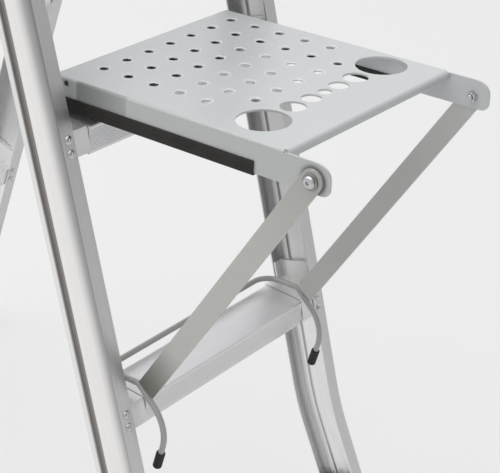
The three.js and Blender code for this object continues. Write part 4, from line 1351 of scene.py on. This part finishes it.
def makeFloor():
    work = bmesh.new()
    bmesh.ops.create_grid(work, x_segments=1, y_segments=1, size=floorSpec["size"] / 2)
    floor = pieceFromBmesh("floor", work)
    material, tree, shader = startMaterial("floorPaper")
    shader.inputs["Base Color"].default_value = (*floorSpec["colour"], 1)
    shader.inputs["Roughness"].default_value = floorSpec["roughness"]
    glow = addNode(tree, "ShaderNodeEmission", {"Color": (1, 1, 1, 1), "Strength": floorSpec["seen"]})
    share = mathNode(tree, "MULTIPLY", paleRays(tree)[1], floorSpec["seenShare"])
    blendShaders(tree, share, shader, glow, "Material Output")
    floor.data.materials.append(material)


# The studio is bright above and behind the object, and dimmer on the photographer's side. The camera
# sees it at the level of the floor's far end
worldSpec = {
    "towards": (0.4, 0.55, 0.73),
    "from": -0.7,
    "to": 0.7,
    "dim": 0.25,
    "light": 0.56,
    "seen": 0.95,
    "horizon": 0.735,
}


def makeWorld():
    world = bpy.data.worlds.new("studio")
    bpy.context.scene.world = world
    world.use_nodes = True
    tree = world.node_tree
    spec = worldSpec
    place = tree.nodes.new("ShaderNodeTexCoord")
    towards = Vector(spec["towards"]).normalized()
    along = vectorNode(tree, "DOT_PRODUCT", place.outputs["Generated"], towards)["Value"]
    fall = rangeNode(tree, along, spec["from"], spec["to"], spec["dim"], 1)
    paths, pale = paleRays(tree)
    seen = mathNode(tree, "MULTIPLY", paths["Is Camera Ray"], spec["horizon"])
    mirrored = mathNode(tree, "MULTIPLY", fall, spec["seen"])
    unseen = mathNode(tree, "SUBTRACT", 1, paths["Is Camera Ray"])
    shown = mathNode(tree, "ADD", seen, mathNode(tree, "MULTIPLY", unseen, mirrored))
    back, front = tree.nodes["Background"], tree.nodes.new("ShaderNodeBackground")
    for surface, strength in ((back, mathNode(tree, "MULTIPLY", fall, spec["light"])), (front, shown)):
        surface.inputs["Color"].default_value = (1, 1, 1, 1)
        tree.links.new(strength, surface.inputs["Strength"])
    blendShaders(tree, pale, back, front, "World Output")


def makeLamp(name, place, target, size, watts):
    lamp = bpy.data.lights.new(name, "AREA")
    lamp.shape = "DISK"
    lamp.size = size
    lamp.energy = watts
    holder = newObject(name, lamp)
    holder.location = place
    holder.rotation_mode = "QUATERNION"
    holder.rotation_quaternion = (Vector(target) - Vector(place)).to_track_quat("-Z", "Y")


lampSpec = {
    "key": {"place": (-0.7, 0.8, 3.2), "target": (0, -0.1, 0.5), "size": 5.2, "watts": 70},
    "fill": {"place": (-2.6, -1.6, 1.6), "target": (0, -0.1, 0.5), "size": 2.6, "watts": 5},
    "back": {"place": (2.1, 1.7, 1.9), "target": (0, -0.1, 0.4), "size": 4.5, "watts": 5},
}

cameraSpec = {
    "place": (-1.103, -1.05562, 1.20732),
    "azimuth": math.radians(52.684),
    "elevation": math.radians(28.686),
    "roll": math.radians(-4.069),
    "lens": 108.535,
    "sensor": 36,
    "shift": (0.02812, -0.0168),
    "clip": (0.05, 100),
}


def makeCamera():
    spec = cameraSpec
    camera = bpy.data.cameras.new("photoCamera")
    camera.sensor_width = spec["sensor"]
    camera.lens = spec["lens"]
    camera.shift_x, camera.shift_y = spec["shift"]
    camera.clip_start, camera.clip_end = spec["clip"]
    holder = newObject("photoCamera", camera)
    azimuth, elevation = spec["azimuth"], spec["elevation"]
    forward = Vector((
        math.sin(azimuth) * math.cos(elevation),
        math.cos(azimuth) * math.cos(elevation),
        -math.sin(elevation),
    ))
    level = Vector((math.cos(azimuth), -math.sin(azimuth), 0))
    above = level.cross(forward)
    up = above * math.cos(spec["roll"]) + level * math.sin(spec["roll"])
    right = forward.cross(up)
    turn = Matrix((right, up, -forward)).transposed().to_4x4()
    holder.matrix_world = Matrix.Translation(spec["place"]) @ turn
    bpy.context.scene.camera = holder


makeFloor()
makeWorld()
for lampName, lampValues in lampSpec.items():
    makeLamp(lampName, **lampValues)
makeCamera()
bpy.context.scene.view_settings.view_transform = "Standard"
print("stage: floor, lights and camera made")
